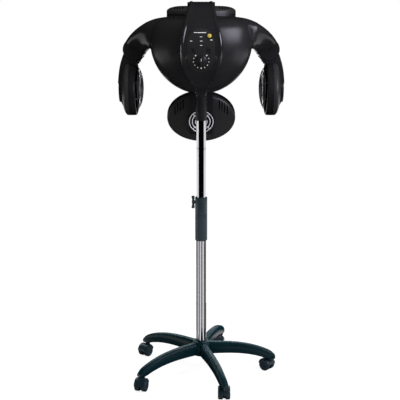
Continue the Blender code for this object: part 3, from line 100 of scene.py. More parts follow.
def moulded(name, dark, light, roughness, grain_mm, grain_depth_mm, uneven, metallic=0.0, ior=1.5):
    """A moulded or coated surface: faint shade and gloss changes, and a fine grain."""
    material, shader = new_finish(name, {"Metallic": metallic, "IOR": ior})
    place = add_node(material, "ShaderNodeTexCoord")
    cloud = add_node(material, "ShaderNodeTexNoise", {"Scale": 9.0, "Detail": 3.0, "Roughness": 0.55},
                     {"Vector": (place, "Object")})
    shade = add_node(material, "ShaderNodeMix", {"data_type": "RGBA", 6: linear(dark), 7: linear(light)},
                     {0: (cloud, "Fac")})
    gloss = add_node(material, "ShaderNodeMapRange",
                     {1: 0.3, 2: 0.7, 3: roughness - uneven, 4: roughness + uneven},
                     {"Value": (cloud, "Fac")})
    grain = add_node(material, "ShaderNodeTexNoise", {"Scale": 1000.0 / grain_mm, "Detail": 2.0},
                     {"Vector": (place, "Object")})
    bump = add_node(material, "ShaderNodeBump", {"Strength": 1.0, "Distance": grain_depth_mm / 1000},
                    {"Height": (grain, "Fac")})
    links = material.node_tree.links
    links.new(shade.outputs[2], shader.inputs["Base Color"])
    links.new(gloss.outputs[0], shader.inputs["Roughness"])
    links.new(bump.outputs[0], shader.inputs["Normal"])
    return material


def linked(name, data):
    """A new object in the scene for a mesh, curve, lamp or camera."""
    obj = bpy.data.objects.new(name, data)
    bpy.context.collection.objects.link(obj)
    return obj


def as_mesh(name, shape):
    """Turns a bmesh into a mesh, and frees it."""
    mesh = bpy.data.meshes.new(name)
    shape.to_mesh(mesh)
    shape.free()
    return mesh


def moved(shape, matrix):
    """Places the whole of a bmesh by a matrix."""
    bmesh.ops.transform(shape, matrix=matrix, verts=shape.verts)
    return shape


def settle(obj):
    """Applies an object's modifiers to its mesh."""
    seen = obj.evaluated_get(bpy.context.evaluated_depsgraph_get())
    obj.data = bpy.data.meshes.new_from_object(seen)
    obj.modifiers.clear()


def smoothed(obj, sharp=SHARP):
    """Shades an object smooth between its sharp edges."""
    obj.data.shade_smooth()
    obj.data.set_sharp_from_angle(angle=radians(sharp))
    return obj


def solid(name, shape, sharp=SHARP, round_off=0.0, steps=2):
    """Turns a bmesh into an object: faces out, edges rounded, smooth between sharp edges."""
    bmesh.ops.remove_doubles(shape, verts=shape.verts, dist=1e-6)
    bmesh.ops.recalc_face_normals(shape, faces=shape.faces)
    obj = linked(name, as_mesh(name, shape))
    if round_off:
        bevel = obj.modifiers.new("edges", "BEVEL")
        bevel.width = round_off
        bevel.segments = steps
        bevel.limit_method = "ANGLE"
        bevel.angle_limit = radians(sharp)
        bevel.harden_normals = False
        settle(obj)
    return smoothed(obj, sharp)


def spun(profile, segments=96, closed=False):
    """A bmesh of (radius, z) points turned round Z; open ends are capped."""
    shape = bmesh.new()
    points = [shape.verts.new((radius, 0.0, z)) for radius, z in profile]
    edges = [shape.edges.new(pair) for pair in zip(points, points[1:])]
    if closed:
        edges.append(shape.edges.new((points[-1], points[0])))
    bmesh.ops.spin(shape, geom=points + edges, axis=(0, 0, 1), cent=(0, 0, 0), angle=2 * pi,
                   steps=segments, use_merge=True)
    if not closed:
        bmesh.ops.holes_fill(shape, edges=[edge for edge in shape.edges if edge.is_boundary])
    return shape


def swept(section, places):
    """A closed section carried through a row of matrices by extrusion."""
    shape = bmesh.new()
    face = shape.faces.new([shape.verts.new(places[0] @ Vector(point)) for point in section])
    last = places[0]
    for place in places[1:]:
        grown = bmesh.ops.extrude_face_region(shape, geom=[face, *face.edges])
        face = next(item for item in grown["geom"] if isinstance(item, bmesh.types.BMFace))
        bmesh.ops.transform(shape, matrix=place @ last.inverted(), verts=face.verts)
        last = place
    return shape


def merged(name, objects):
    """Puts several objects' meshes into one object."""
    shape = bmesh.new()
    for obj in objects:
        shape.from_mesh(obj.data)
        bpy.data.objects.remove(obj)
    return smoothed(linked(name, as_mesh(name, shape)))


def coat(obj, material):
    """Gives a piece or a CAD node its one finish."""
    obj.data.materials.clear()
    obj.data.materials.append(material)


def fit(obj, material, body, slot_name, *nodes):
    """Gives a finished piece its material, its body and the CAD nodes that it stands for."""
    coat(obj, material)
    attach(obj, body)
    if nodes:
        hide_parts(*nodes)


# glass-filled nylon, injection moulded: dark, slightly green, with a fine satin grain
base_nylon = moulded("nylon_satin_green_black", "#01161a", "#032228", 0.29, 0.9, 0.004, 0.03, ior=1.34)

# the arm's section: upright sides, two chamfers up to the ridge, each corner rounded by its reach
corners = [Vector(point) for point in ((1.0, 0.0), (1.0, 0.58), (0.80, 0.84), (0.48, 1.0),
                                       (-0.48, 1.0), (-0.80, 0.84), (-1.0, 0.58), (-1.0, 0.0))]
foot_section = []
for index, corner in enumerate(corners):
    to_last, to_next = corners[index - 1] - corner, corners[(index + 1) % 8] - corner
    reach = (0.06, 0.12, 0.16, 0.22, 0.22, 0.16, 0.12, 0.06)[index]
    reach_back, reach_on = reach / to_last.length, reach / to_next.length
    for t in (0.0, 0.25, 0.5, 0.75, 1.0):
        y, z = corner + to_last * reach_back * (1 - t) ** 2 + to_next * reach_on * t**2
        foot_section.append((0, y, z))
hub_profile = [(HUB_RADIUS + 0.002, HUB_LOW), (HUB_RADIUS, HUB_TOP - 0.006), (HUB_RADIUS - 0.005, HUB_TOP),
               (HUB_BORE, HUB_TOP), (HUB_BORE, HUB_TOP - 0.02)]
star_parts = [solid("hub", spun(hub_profile), round_off=0.0012)]
for arm in range(5):
    turn = Matrix.Rotation(2 * pi * arm / 5, 4, "Z")
    places = []
    for step in range(25):
        share = step / 24
        reach = 0.5 * HUB_RADIUS + (ARM_REACH + ARM_OVERHANG - 0.5 * HUB_RADIUS) * share
        crown = FOOT_TOP - (FOOT_TOP - PAD - FOOT_END_DEPTH) * share**3.2
        half = FOOT_ROOT_HALF + (FOOT_END_HALF - FOOT_ROOT_HALF) * share
        if share > 0.93:  # the blunt, drooping tip
            droop = (share - 0.93) / 0.07
            crown -= 0.0085 * droop**1.6
            half *= 1 - 0.34 * droop**2.2
        low = crown - FOOT_DEPTH * (1 - 0.28 * share)
        low = max(low, PAD) if share > 0.5 else low
        places.append(turn @ Matrix.Translation((reach, 0, low)) @ Matrix.Diagonal((1, half, crown - low, 1)))
    star_parts.append(solid("foot", swept(foot_section, places)))
fit(merged("star_base_moulding", star_parts), base_nylon, "base", "base_plastic", "star_base")

# ---------------------------------------------------------------- casters
# Twin-wheel furniture casters: two hard nylon wheels on one axle, under a curved hood
# with a web between the wheels, on a steel stem that is pushed up into the arm's end.
WHEEL_RADIUS = 0.025
WHEEL_INNER, WHEEL_OUTER = 0.0052, 0.0242
AXLE_RADIUS, TRAIL = 0.0035, 0.018
WEB_HALF = 0.0045
CASTER_HEADINGS = (135.0, 200.0, 238.0, 255.0, 90.0)  # degrees, as they stand in the photograph
wheel_profile = [(AXLE_RADIUS, WHEEL_INNER), (0.0238, WHEEL_INNER), (WHEEL_RADIUS, WHEEL_INNER + 0.002),
                 (WHEEL_RADIUS, WHEEL_OUTER - 0.005), (0.0240, WHEEL_OUTER - 0.002),
                 (0.0215, WHEEL_OUTER - 0.0004), (0.0165, WHEEL_OUTER), (0.0155, WHEEL_OUTER - 0.0016),
                 (0.0075, WHEEL_OUTER - 0.0016), (0.0062, WHEEL_OUTER - 0.0002), (AXLE_RADIUS, WHEEL_OUTER)]
hood_section = [(0.0271, -0.0190, 0.0), (0.0271, 0.0190, 0.0), (0.0262, 0.0222, 0.0), (0.0258, 0.0238, 0.0),
                (0.0266, 0.0240, 0.0), (0.0277, 0.0230, 0.0), (0.0288, 0.0205, 0.0), (0.0293, 0.0165, 0.0),
                (0.0293, -0.0165, 0.0), (0.0288, -0.0205, 0.0), (0.0277, -0.0230, 0.0),
                (0.0266, -0.0240, 0.0), (0.0258, -0.0238, 0.0), (0.0262, -0.0222, 0.0)]
neck_profile = [(0.0095, 0.0465), (0.0095, 0.0565), (0.0089, 0.0571), (0.0055, 0.0571), (0.0055, 0.0765)]


def prism(outline, start, end, across="X"):
    """A flat outline carried from start to end along an axis."""
    turn = {"X": Matrix(((0, 0, 1, 0), (1, 0, 0, 0), (0, 1, 0, 0), (0, 0, 0, 1))),
            "Y": Matrix(((1, 0, 0, 0), (0, 0, 1, 0), (0, 1, 0, 0), (0, 0, 0, 1))),
            "Z": Matrix.Identity(4)}[across]
    places = [turn @ Matrix.Translation((0, 0, level)) for level in (start, end)]
    return swept([(u, v, 0.0) for u, v in outline], places)


def arc(radius, degrees, centre=(0.0, 0.0)):
    """Points of an outline on a circle, one at each angle."""
    return [(centre[0] + radius * cos(radians(a)), centre[1] + radius * sin(radians(a))) for a in degrees]


# unfilled nylon, moulded: the hoods are blue-black with a soft shine, the wheels duller
caster_nylon = moulded("nylon_caster_hood", "#0c1a1f", "#17282f", 0.30, 0.8, 0.015, 0.05)
wheel_nylon = moulded("nylon_caster_wheel", "#16242a", "#26363c", 0.40, 0.7, 0.020, 0.08)
web_outline = arc(0.0278, range(14, 167, 8), (TRAIL, WHEEL_RADIUS))
web_outline += arc(0.021, range(180, 361, 12), (TRAIL, WHEEL_RADIUS))
for number, heading in enumerate(CASTER_HEADINGS, start=1):
    angle = 2 * pi * (number - 1) / 5
    stem_foot = Matrix.Translation((ARM_REACH * cos(angle), ARM_REACH * sin(angle), 0))
    spot = stem_foot @ Matrix.Rotation(radians(heading), 4, "Z")
    wheel_centre = spot @ Matrix.Translation((TRAIL, 0, WHEEL_RADIUS))
    axle = wheel_centre @ Matrix.Rotation(pi / 2, 4, "X")
    wheels = []
    for side in (-1, 1):
        wheel = spun([(radius, z * side) for radius, z in wheel_profile], 56)
        wheels.append(solid("wheel", moved(wheel, axle), sharp=30.0))
    rod = spun([(AXLE_RADIUS, -WHEEL_INNER), (AXLE_RADIUS, WHEEL_INNER)], 24)
    wheels.append(solid("axle", moved(rod, axle)))
    wheel_pair = merged(f"caster_wheel_pair_{number}", wheels)
    fit(wheel_pair, wheel_nylon, f"wheels_{number}", "wheel_tread", f"caster_wheels_{number}")

    over_wheels = [wheel_centre @ Matrix.Rotation(-radians(a), 4, "Y") for a in range(8, 173, 4)]
    web = moved(prism(web_outline, -WEB_HALF, WEB_HALF, "Y"), spot)
    housing = merged(f"caster_hood_{number}", [
        solid("hood", swept(hood_section, over_wheels), sharp=40.0),
        solid("web", web, sharp=40.0, round_off=0.0006),
        solid("neck", moved(spun(neck_profile, 40), spot)),
    ])
    fit(housing, caster_nylon, f"caster_{number}", "base_plastic", f"caster_housing_{number}")

# ---------------------------------------------------------------- pole and foot bolt
# Two drawn steel tubes, polished and chrome plated; the slimmer one slides in the other.
# A bolt with a plug holds the pole in the hub, and a plastic bush guides the upper tube.
LOWER_RADIUS, UPPER_RADIUS, TUBE_WALL = 0.021, 0.019, 0.0015
TUBE_CHAMFER = 0.0003


def plated(name, tint, roughness, streak, metal=1.0):
    """Plated or bare metal: bright, with hair-fine lines along the upright tubes."""
    material, shader = new_finish(name, {"Metallic": metal})
    place = add_node(material, "ShaderNodeTexCoord")
    along = add_node(material, "ShaderNodeMapping", {"Scale": (400.0, 400.0, 6.0)},
                     {"Vector": (place, "Object")})
    lines = add_node(material, "ShaderNodeTexNoise", {"Scale": 1.0, "Detail": 3.0},
                     {"Vector": (along, "Vector")})
    haze = add_node(material, "ShaderNodeTexNoise", {"Scale": 14.0, "Detail": 2.0},
                    {"Vector": (place, "Object")})
    shade = add_node(material, "ShaderNodeMix", {"data_type": "RGBA", 6: linear(tint), 7: linear("#dcdce0")},
                     {0: (haze, "Fac")})
    rough = add_node(material, "ShaderNodeMapRange", {1: 0.3, 2: 0.7, 3: roughness, 4: roughness + streak},
                     {"Value": (lines, "Fac")})
    links = material.node_tree.links
    links.new(shade.outputs[2], shader.inputs["Base Color"])
    links.new(rough.outputs[0], shader.inputs["Roughness"])
    return material


# decorative chrome over polished steel: it mirrors the room almost sharply
tube_chrome = plated("chrome_plated_tube", "#cbcbd0", 0.05, 0.03)
for name, outer, low, high, body, cad in (
    ("pole_lower_tube", LOWER_RADIUS, 0.0873, 0.7153, "base", "lower_tube"),
    ("pole_upper_tube", UPPER_RADIUS, 0.350, 1.1817, "mast", "upper_tube"),
):
    tube = spun([(outer - TUBE_CHAMFER, low), (outer, low + TUBE_CHAMFER), (outer, high - TUBE_CHAMFER),
                 (outer - TUBE_CHAMFER, high), (outer - TUBE_WALL, high), (outer - TUBE_WALL, low)],
                128, closed=True)
    fit(solid(name, tube), tube_chrome, body, "bright_chrome", cad)

# zinc-plated steel, seen only from below: grey with a dull shine
coat(frame["nodes"]["foot_bolt"], plated("zinc_plated_steel", "#a7a9a6", 0.30, 0.10))

# ---------------------------------------------------------------- clamp sleeve and wing screw
# The sleeve that joins the two tubes: grey-green ABS with a few turned bands, and a
# screw with two swept wings that clamps the upper tube through the sleeve's side.
COLLAR_LOW, COLLAR_TOP, COLLAR_RADIUS = 0.578, 0.7583, 0.0248
COLLAR_BORE, COLLAR_NECK, COLLAR_STEP = 0.0213, 0.0193, 0.7156  # wide bore, narrow bore, where they meet
SCREW_Z = 0.7373
# ABS from an eroded mould: an even satin, a little green
sleeve_abs = moulded("abs_grey_green", "#142125", "#24363c", 0.36, 1.1, 0.020, 0.06)
profile = [(COLLAR_BORE, COLLAR_LOW), (COLLAR_RADIUS - 0.0014, COLLAR_LOW),
           (COLLAR_RADIUS, COLLAR_LOW + 0.0022)]
for level in (0.672, 0.6795, 0.687):
    profile += [(COLLAR_RADIUS, level), (COLLAR_RADIUS - 0.0012, level + 0.0006),
                (COLLAR_RADIUS - 0.0012, level + 0.0022), (COLLAR_RADIUS, level + 0.0028)]
profile += [(COLLAR_RADIUS, COLLAR_TOP - 0.0030), (COLLAR_RADIUS - 0.0010, COLLAR_TOP - 0.0008),
            (COLLAR_RADIUS - 0.0030, COLLAR_TOP), (COLLAR_NECK, COLLAR_TOP), (COLLAR_NECK, COLLAR_STEP),
            (COLLAR_BORE, COLLAR_STEP)]
sleeve = solid("clamp_sleeve", spun(profile, 96, closed=True), sharp=25.0)
fit(sleeve, sleeve_abs, "base", "grey_plastic", "collar")

# ABS moulded over the screw's head: darker than the sleeve, with a thumb-worn shine
screw_abs = moulded("abs_wing_screw", "#1c2629", "#2c393d", 0.34, 1.0, 0.015, 0.05)
to_side = Matrix.Translation((0, 0, SCREW_Z)) @ Matrix.Rotation(-pi / 2, 4, "Y")
shank = spun([(0.004, 0.0193), (0.004, 0.0251), (0.0068, 0.0251), (0.0075, 0.0258), (0.0075, 0.0362),
              (0.0060, 0.0380), (0.0020, 0.0381)], 48)
bow = [(0.000, 0.0280), (0.006, 0.0276), (0.014, 0.0268), (0.0215, 0.0262), (0.0252, 0.0268),
       (0.0262, 0.0300), (0.0260, 0.0355), (0.0248, 0.0390), (0.0215, 0.0396), (0.0150, 0.0380),
       (0.0075, 0.0362), (0.0, 0.0357)]
bow += [(-u, v) for u, v in reversed(bow[1:-1])]
wings = moved(prism(bow, -0.0021, 0.0021, "Z"), to_side @ Matrix.Rotation(pi / 2, 4, "X"))
wing_screw = merged("clamp_wing_screw", [
    solid("screw", moved(shank, to_side)),
    solid("wings", wings, sharp=50.0, round_off=0.0012, steps=3),
])
fit(wing_screw, screw_abs, "clamp_screw", "grey_plastic", "wing_screw")

# ---------------------------------------------------------------- pole socket and frame
# Die-cast aluminium socket that the upper tube goes into, lacquered gloss black where it
# shows below the hood. Inside the hood it carries an open frame that the arms are fixed to.
NECK_RADIUS, NECK_BORE = 0.0227, 0.0193
NECK_LOW, NECK_TOP = 1.0700, 1.222


def block(size, centre):
    """A rectangular block of a size, round its centre."""
    shape = bmesh.new()
    bmesh.ops.create_cube(shape, size=1.0)
    return moved(shape, Matrix.Translation(centre) @ Matrix.Diagonal((*size, 1)))


def push(shape, faces, way):
    """Extrudes faces along a vector."""
    grown = bmesh.ops.extrude_face_region(shape, geom=faces)
    bmesh.ops.translate(shape, vec=way, verts=[v for v in grown["geom"] if isinstance(v, bmesh.types.BMVert)])


# polycarbonate and ABS blend, polished tool: piano black with a faint orange-peel ripple,
# which the socket's lacquer matches
gloss_abs = moulded("abs_gloss_black", "#161617", "#1f1f20", 0.20, 6.0, 0.006, 0.03, ior=1.38)
neck = spun([(NECK_BORE, NECK_LOW + 0.0004), (NECK_RADIUS - 0.0012, NECK_LOW),
             (NECK_RADIUS, NECK_LOW + 0.0012), (NECK_RADIUS, NECK_TOP), (NECK_BORE, NECK_TOP)],
            96, closed=True)
socket = solid("socket", neck)
carrier = block((0.099, 0.0547, 0.186), (0, 0.00235, 1.305))
front = [face for face in carrier.faces if face.normal.y < -0.9]
bmesh.ops.inset_region(carrier, faces=front, thickness=0.006)
inner = [face for face in carrier.faces if face.normal.y < -0.9 and face.calc_area() > 0.01]
push(carrier, inner, (0, 0.0487, 0))
bmesh.ops.delete(carrier, geom=inner, context="FACES")
carrier_obj = solid("carrier", carrier, round_off=0.0008)
fit(merged("pole_socket", [socket, carrier_obj]), gloss_abs, "hood", "bracket_black", "neck_bracket")

# ---------------------------------------------------------------- hood
# A deep bowl blow-moulded in gloss black ABS, flattened along its top, with a crowned
# back cover held in its rim. The cover has louvres for the cooling air.
DOME_CENTRE = Vector((0.0, 0.030, 1.380))
DOME_SIZE = Vector((0.200, 0.145, 0.208))
DOME_FLAT = 0.092
COVER_FRONT = 0.0303
LOUVRE_X, LOUVRE_TOP, LOUVRE_PITCH = 0.090, 1.320, 0.012


def flattened(shape):
    """Presses the top of the bowl towards a flat, as in the photographed hood."""
    for vert in shape.verts:
        rise = vert.co.z - DOME_CENTRE.z
        if rise > 0:
            vert.co.z = DOME_CENTRE.z + DOME_FLAT * tanh(rise / DOME_FLAT)


def carve(obj, cutter, operation="DIFFERENCE"):
    """Cuts one solid from another, or keeps what both share, and drops the cutter."""
    tool = obj.modifiers.new("carve", "BOOLEAN")
    tool.operation = operation
    tool.solver = "MANIFOLD"
    tool.object = cutter
    settle(obj)
    bpy.data.objects.remove(cutter)


# ABS off a plainer mould than the polished trim: black with a broad, soft sheen
hood_abs = moulded("abs_hood_black", "#1a191a", "#222122", 0.28, 5.0, 0.008, 0.03, ior=1.38)
hood = bmesh.new()
bmesh.ops.create_uvsphere(hood, u_segments=128, v_segments=96, radius=1.0)
bmesh.ops.rotate(hood, cent=(0, 0, 0), matrix=Matrix.Rotation(pi / 2, 3, "X"), verts=hood.verts)
bmesh.ops.scale(hood, vec=DOME_SIZE, verts=hood.verts)
bmesh.ops.bisect_plane(hood, geom=hood.verts[:] + hood.edges[:] + hood.faces[:], plane_co=(0, 0, 0),
                       plane_no=(0, 1, 0), clear_outer=True)
bmesh.ops.translate(hood, vec=DOME_CENTRE, verts=hood.verts)
flattened(hood)
bmesh.ops.holes_fill(hood, edges=[edge for edge in hood.edges if edge.is_boundary])
back_face = max(hood.faces, key=lambda face: face.calc_area())
bmesh.ops.inset_region(hood, faces=[back_face], thickness=0.003)
fit(solid("hood_bowl", hood, sharp=40.0), hood_abs, "hood", "black_gloss", "dome_shell")

# fine-grained ABS: dull black that takes no sharp reflections
satin_abs = moulded("abs_satin_black", "#111112", "#19191b", 0.36, 0.9, 0.022, 0.05, ior=1.42)
cover = bmesh.new()
bmesh.ops.create_circle(cover, cap_ends=True, segments=128, radius=1.0)
bmesh.ops.rotate(cover, cent=(0, 0, 0), matrix=Matrix.Rotation(-pi / 2, 3, "X"), verts=cover.verts)
bmesh.ops.scale(cover, vec=(DOME_SIZE.x, 1, DOME_SIZE.z), verts=cover.verts)
bmesh.ops.translate(cover, vec=(0, COVER_FRONT, DOME_CENTRE.z), verts=cover.verts)
flattened(cover)
face = cover.faces[:][0]
for scale, back in ((1.0, 0.0030), (0.995, 0.0038), (0.97, 0.0056), (0.93, 0.0080), (0.86, 0.0110),
                    (0.76, 0.0134), (0.70, 0.0140)):
    grown = bmesh.ops.extrude_face_region(cover, geom=[face, *face.edges])
    face = next(item for item in grown["geom"] if isinstance(item, bmesh.types.BMFace))
    now = face.calc_center_median()
    factor = DOME_SIZE.x * scale / max(v.co.x for v in face.verts)
    pivot = Matrix.Translation((0, now.y, DOME_CENTRE.z))
    bmesh.ops.transform(cover, matrix=Matrix.Translation((0, COVER_FRONT + back - now.y, 0)) @ pivot
                        @ Matrix.Diagonal((factor, 1, factor, 1)) @ pivot.inverted(), verts=face.verts)
cover_obj = solid("hood_back_cover", cover, sharp=40.0)
for side in (-1, 1):
    for index in range(5):
        louvre = block((0.046, 0.010, 0.005), (side * LOUVRE_X, 0.046, LOUVRE_TOP - LOUVRE_PITCH * index))
        carve(cover_obj, solid("louvre", louvre, round_off=0.0018, steps=4, sharp=60))
fit(smoothed(cover_obj), satin_abs, "hood", "black_satin", "back_cover")

# ---------------------------------------------------------------- spine cover
# A long lens-shaped cover swept over the hood from the socket to the top. A raised rim
# runs down both sides of its hollow front, and the control plate lies in its middle.
SPINE_ROWS = (  # y, z, half width and depth of each station, from the socket up
    (-0.0257, 1.168, 0.0227, 0.020), (-0.0307, 1.186, 0.0236, 0.026), (-0.0795, 1.220, 0.0437, 0.045),
    (-0.1151, 1.272, 0.0689, 0.045), (-0.1343, 1.335, 0.0810, 0.040), (-0.1370, 1.392, 0.0794, 0.040),
    (-0.1206, 1.448, 0.0672, 0.045), (-0.0795, 1.498, 0.0551, 0.060), (-0.0411, 1.519, 0.0494, 0.060),
    (0.0060, 1.529, 0.0486, 0.058),
)
SPINE_LIP = 0.003
PLATE_Z, PLATE_HALF_X, PLATE_HALF_Z = 1.349, 0.0525, 0.083
THROUGH_FRONT = (-0.25, 0.0)  # from before the spine to the pole, for what cuts the plate's outline


def smooth_values(stations, values, count):
    """Resamples a few given values on a smooth curve through them."""
    result = []
    for index in range(count):
        t = stations[0] + (stations[-1] - stations[0]) * index / (count - 1)
        span = 0
        while span < len(stations) - 2 and t > stations[span + 1]:
            span += 1
        before, after = max(span - 1, 0), min(span + 2, len(stations) - 1)
        h = stations[span + 1] - stations[span]
        u = (t - stations[span]) / h
        slope0 = (values[span + 1] - values[before]) / (stations[span + 1] - stations[before])
        slope1 = (values[after] - values[span]) / (stations[after] - stations[span])
        result.append((2 * u**3 - 3 * u**2 + 1) * values[span] + (u**3 - 2 * u**2 + u) * h * slope0
                      + (3 * u**2 - 2 * u**3) * values[span + 1] + (u**3 - u**2) * h * slope1)
    return result


def smooth_rows(rows, count):
    """Resamples each column of a table of rows, and gives the new columns."""
    stations = [float(index) for index in range(len(rows))]
    return [smooth_values(stations, column, count) for column in zip(*rows)]


def spine_at(count):
    """The spine's line resampled: (y, z, half width, depth, direction out) at each station."""
    ys, zs, halves, depths = smooth_rows(SPINE_ROWS, count)
    line = []
    for index in range(count):
        before, after = max(index - 1, 0), min(index + 1, count - 1)
        run = Vector((0, ys[after] - ys[before], zs[after] - zs[before])).normalized()
        line.append((ys[index], zs[index], halves[index], depths[index], Vector((0, -run.z, run.y))))
    return line


def spine_place(y, z, outward):
    """Local x across, local y along the spine, local z out of it."""
    up = Vector((1, 0, 0)).cross(outward) * -1
    turn = Matrix((Vector((1, 0, 0)), up, outward)).transposed().to_4x4()
    return Matrix.Translation((0, y, z)) @ turn


def lofted(sections):
    """Skins a row of closed sections, and caps both ends."""
    shape = bmesh.new()
    rings = []
    for section in sections:
        ring = [shape.verts.new(point) for point in section]
        rings.append([shape.edges.new((ring[i], ring[(i + 1) % len(ring)])) for i in range(len(ring))])
    for first, second in zip(rings, rings[1:]):
        bmesh.ops.bridge_loops(shape, edges=first + second)
    for ring in (rings[0], rings[-1]):
        bmesh.ops.contextual_create(shape, geom=ring)
    return shape


def plate_outline(inset, count=96):
    """The control plate's rounded oval, seen from the front, at an inset from its edge."""
    points = []
    for index in range(count):
        c, s = cos(2 * pi * index / count), sin(2 * pi * index / count)
        size = (abs(c) ** 2.5 + abs(s) ** 2.5) ** -0.4
        points.append(((PLATE_HALF_X - inset) * size * c, PLATE_Z + (PLATE_HALF_Z - inset) * size * s))
    return points


sections = []
for y, z, half, depth, outward in spine_at(72):
    lip = min(0.012, 0.30 * half)
    side = [(half, -depth), (half, -lip * 1.3), (half - 0.06 * lip, -0.85 * lip),
            (half - 0.20 * lip, -0.45 * lip), (half - 0.45 * lip, -0.16 * lip),
            (half - 0.75 * lip, -0.02 * lip), (half - 1.0 * lip, -0.02 * lip),
            (half - 1.2 * lip, -0.45 * SPINE_LIP), (half - 1.4 * lip, -0.95 * SPINE_LIP),
            (half - 1.7 * lip, -SPINE_LIP)]
    place = spine_place(y, z, outward)
    sections.append([place @ Vector((x, 0, w)) for x, w in side + [(-x, w) for x, w in reversed(side)]])
spine_obj = solid("spine_cover_moulding", lofted(sections), sharp=48.0)
carve(spine_obj, solid("plate_seat", prism(plate_outline(-0.0004), *THROUGH_FRONT, "Y")))
smoothed(spine_obj, 40)
# ABS from a mirror-polished mould: the glossiest black on the hood, with crisp highlights
spine_abs = moulded("abs_spine_polished", "#171718", "#202021", 0.13, 6.0, 0.004, 0.02, ior=1.55)
fit(spine_obj, spine_abs, "hood", "black_gloss", "spine_cover")

# ---------------------------------------------------------------- control plate
# A thin oval plate that follows the spine's curve, satin black with small printed marks:
# a dotted dial round the timer knob, marks beside the keys and the lamp. It bears no words.
PLATE_THICK = 0.0025
KNOB_Z, KNOB_RADIUS = 1.312, 0.0205
DIAL_RADIUS, DIAL_STEP = 0.0292, 27  # the ring of dots, and the degrees between two of them
PRINT_LOW, PRINT_HIGH = -0.0001, 0.0004

sections = []
for y, z, half, depth, outward in spine_at(150):
    if abs(z - PLATE_Z) < PLATE_HALF_Z + 0.012:
        place = spine_place(y, z, outward)
        face_at, back_at = -SPINE_LIP, -SPINE_LIP - PLATE_THICK
        sections.append([place @ Vector((x, 0, w)) for x, w in (
            (-0.08, back_at), (0.08, back_at), (0.08, face_at), (-0.08, face_at))])
plate_obj = solid("control_plate_skin", lofted(sections))
carve(plate_obj, solid("plate_edge", prism(plate_outline(0.0), *THROUGH_FRONT, "Y")), "INTERSECT")
# grained ABS sheet: charcoal, duller than the spine round it
plate_abs = moulded("abs_plate_black", "#1c1c1c", "#252525", 0.34, 0.8, 0.012, 0.04)
fit(smoothed(plate_obj, 35), plate_abs, "hood", "black_satin", "control_plate")


def panel_place(x, z):
    """Local z out of the plate's face, local y up it, at a height on the plate."""
    row = min(spine_at(361), key=lambda station: abs(station[1] - SPINE_LIP * station[4].z - z))
    place = spine_place(row[0] - SPINE_LIP * row[4].y, z, row[4])
    return Matrix.Translation((x, 0, 0)) @ place


def rectangle(half_u, half_v):
    """A flat outline, centred."""
    return [(-half_u, -half_v), (half_u, -half_v), (half_u, half_v), (-half_u, half_v)]


# screen ink: matt off-white, thick enough to catch an edge of light
mark_white = moulded("printed_mark_white", "#c9c9c6", "#dededb", 0.45, 1.0, 0.004, 0.05)
dial = panel_place(0.0, KNOB_Z)
marks = []
for step in range(11):
    angle = radians(-90 + DIAL_STEP * (step - 5))
    dot = bmesh.new()
    bmesh.ops.create_circle(dot, cap_ends=True, segments=20, radius=0.0019 if step % 5 else 0.0026)
    push(dot, dot.faces[:], (0, 0, PRINT_HIGH - PRINT_LOW))
    spot = Matrix.Translation((DIAL_RADIUS * cos(angle), DIAL_RADIUS * sin(angle), PRINT_LOW))
    marks.append(solid("mark", moved(dot, dial @ spot)))
for x, z, wide, tall in (
    (-0.004, 1.4155, 0.0225, 0.0011), (0.0, 1.4000, 0.0042, 0.0009), (0.0, 1.3850, 0.0050, 0.0009),
    (0.0, 1.3690, 0.0045, 0.0009), (-0.0380, 1.3850, 0.0040, 0.0010), (0.0380, 1.3890, 0.0040, 0.0013),
):
    bar = prism(rectangle(wide, tall), PRINT_LOW, PRINT_HIGH, "Z")
    marks.append(solid("mark", moved(bar, panel_place(x, z))))
fit(merged("plate_printed_marks", marks), mark_white, "hood", "grey_plastic")

# ---------------------------------------------------------------- knob, keys and lamp
# The timer knob is a skirted disc with a grip bar and a white pointer line; two rocker
# keys sit above it, and an amber lens shows that the heaters are on.
KEY_X, KEY_Z, KEY_SUNK = 0.028, 1.3475, 0.0035
LAMP_X, LAMP_Z = 0.0305, 1.4035
knob_profile = [(0.0022, -0.012), (0.0022, 0.0016), (KNOB_RADIUS, 0.0016), (KNOB_RADIUS, 0.0034),
                (KNOB_RADIUS - 0.0010, 0.0046), (0.0150, 0.0058), (0.0140, 0.0072), (0.0128, 0.0145),
                (0.0118, 0.0157), (0.0060, 0.0160), (0.0010, 0.0160)]
knob_obj = solid("knob", spun(knob_profile, 72), sharp=32)
grip = [(-0.0035, -0.0190), (0.0035, -0.0190), (0.0030, 0.0160), (-0.0030, 0.0160)]
grip_obj = solid("grip", prism(grip, 0.0035, 0.0198, "Z"), sharp=40, round_off=0.0016, steps=4)
pointer = [(-0.0007, 0.004), (0.0007, 0.004), (0.0007, 0.0150), (-0.0007, 0.0150)]
pointer_obj = solid("timer_pointer_line", prism(pointer, 0.0190, 0.0201, "Z"))
knob_whole = merged("timer_knob_grip", [knob_obj, grip_obj])
for obj in (knob_whole, pointer_obj):
    obj.data.transform(dial)
# ABS with a fine grain, polished by fingers: black with a soft highlight
knob_abs = moulded("abs_knob_black", "#161617", "#222224", 0.30, 0.9, 0.010, 0.05)
fit(knob_whole, knob_abs, "timer_knob", "black_satin", "timer_knob")
fit(pointer_obj, mark_white, "timer_knob", "grey_plastic")

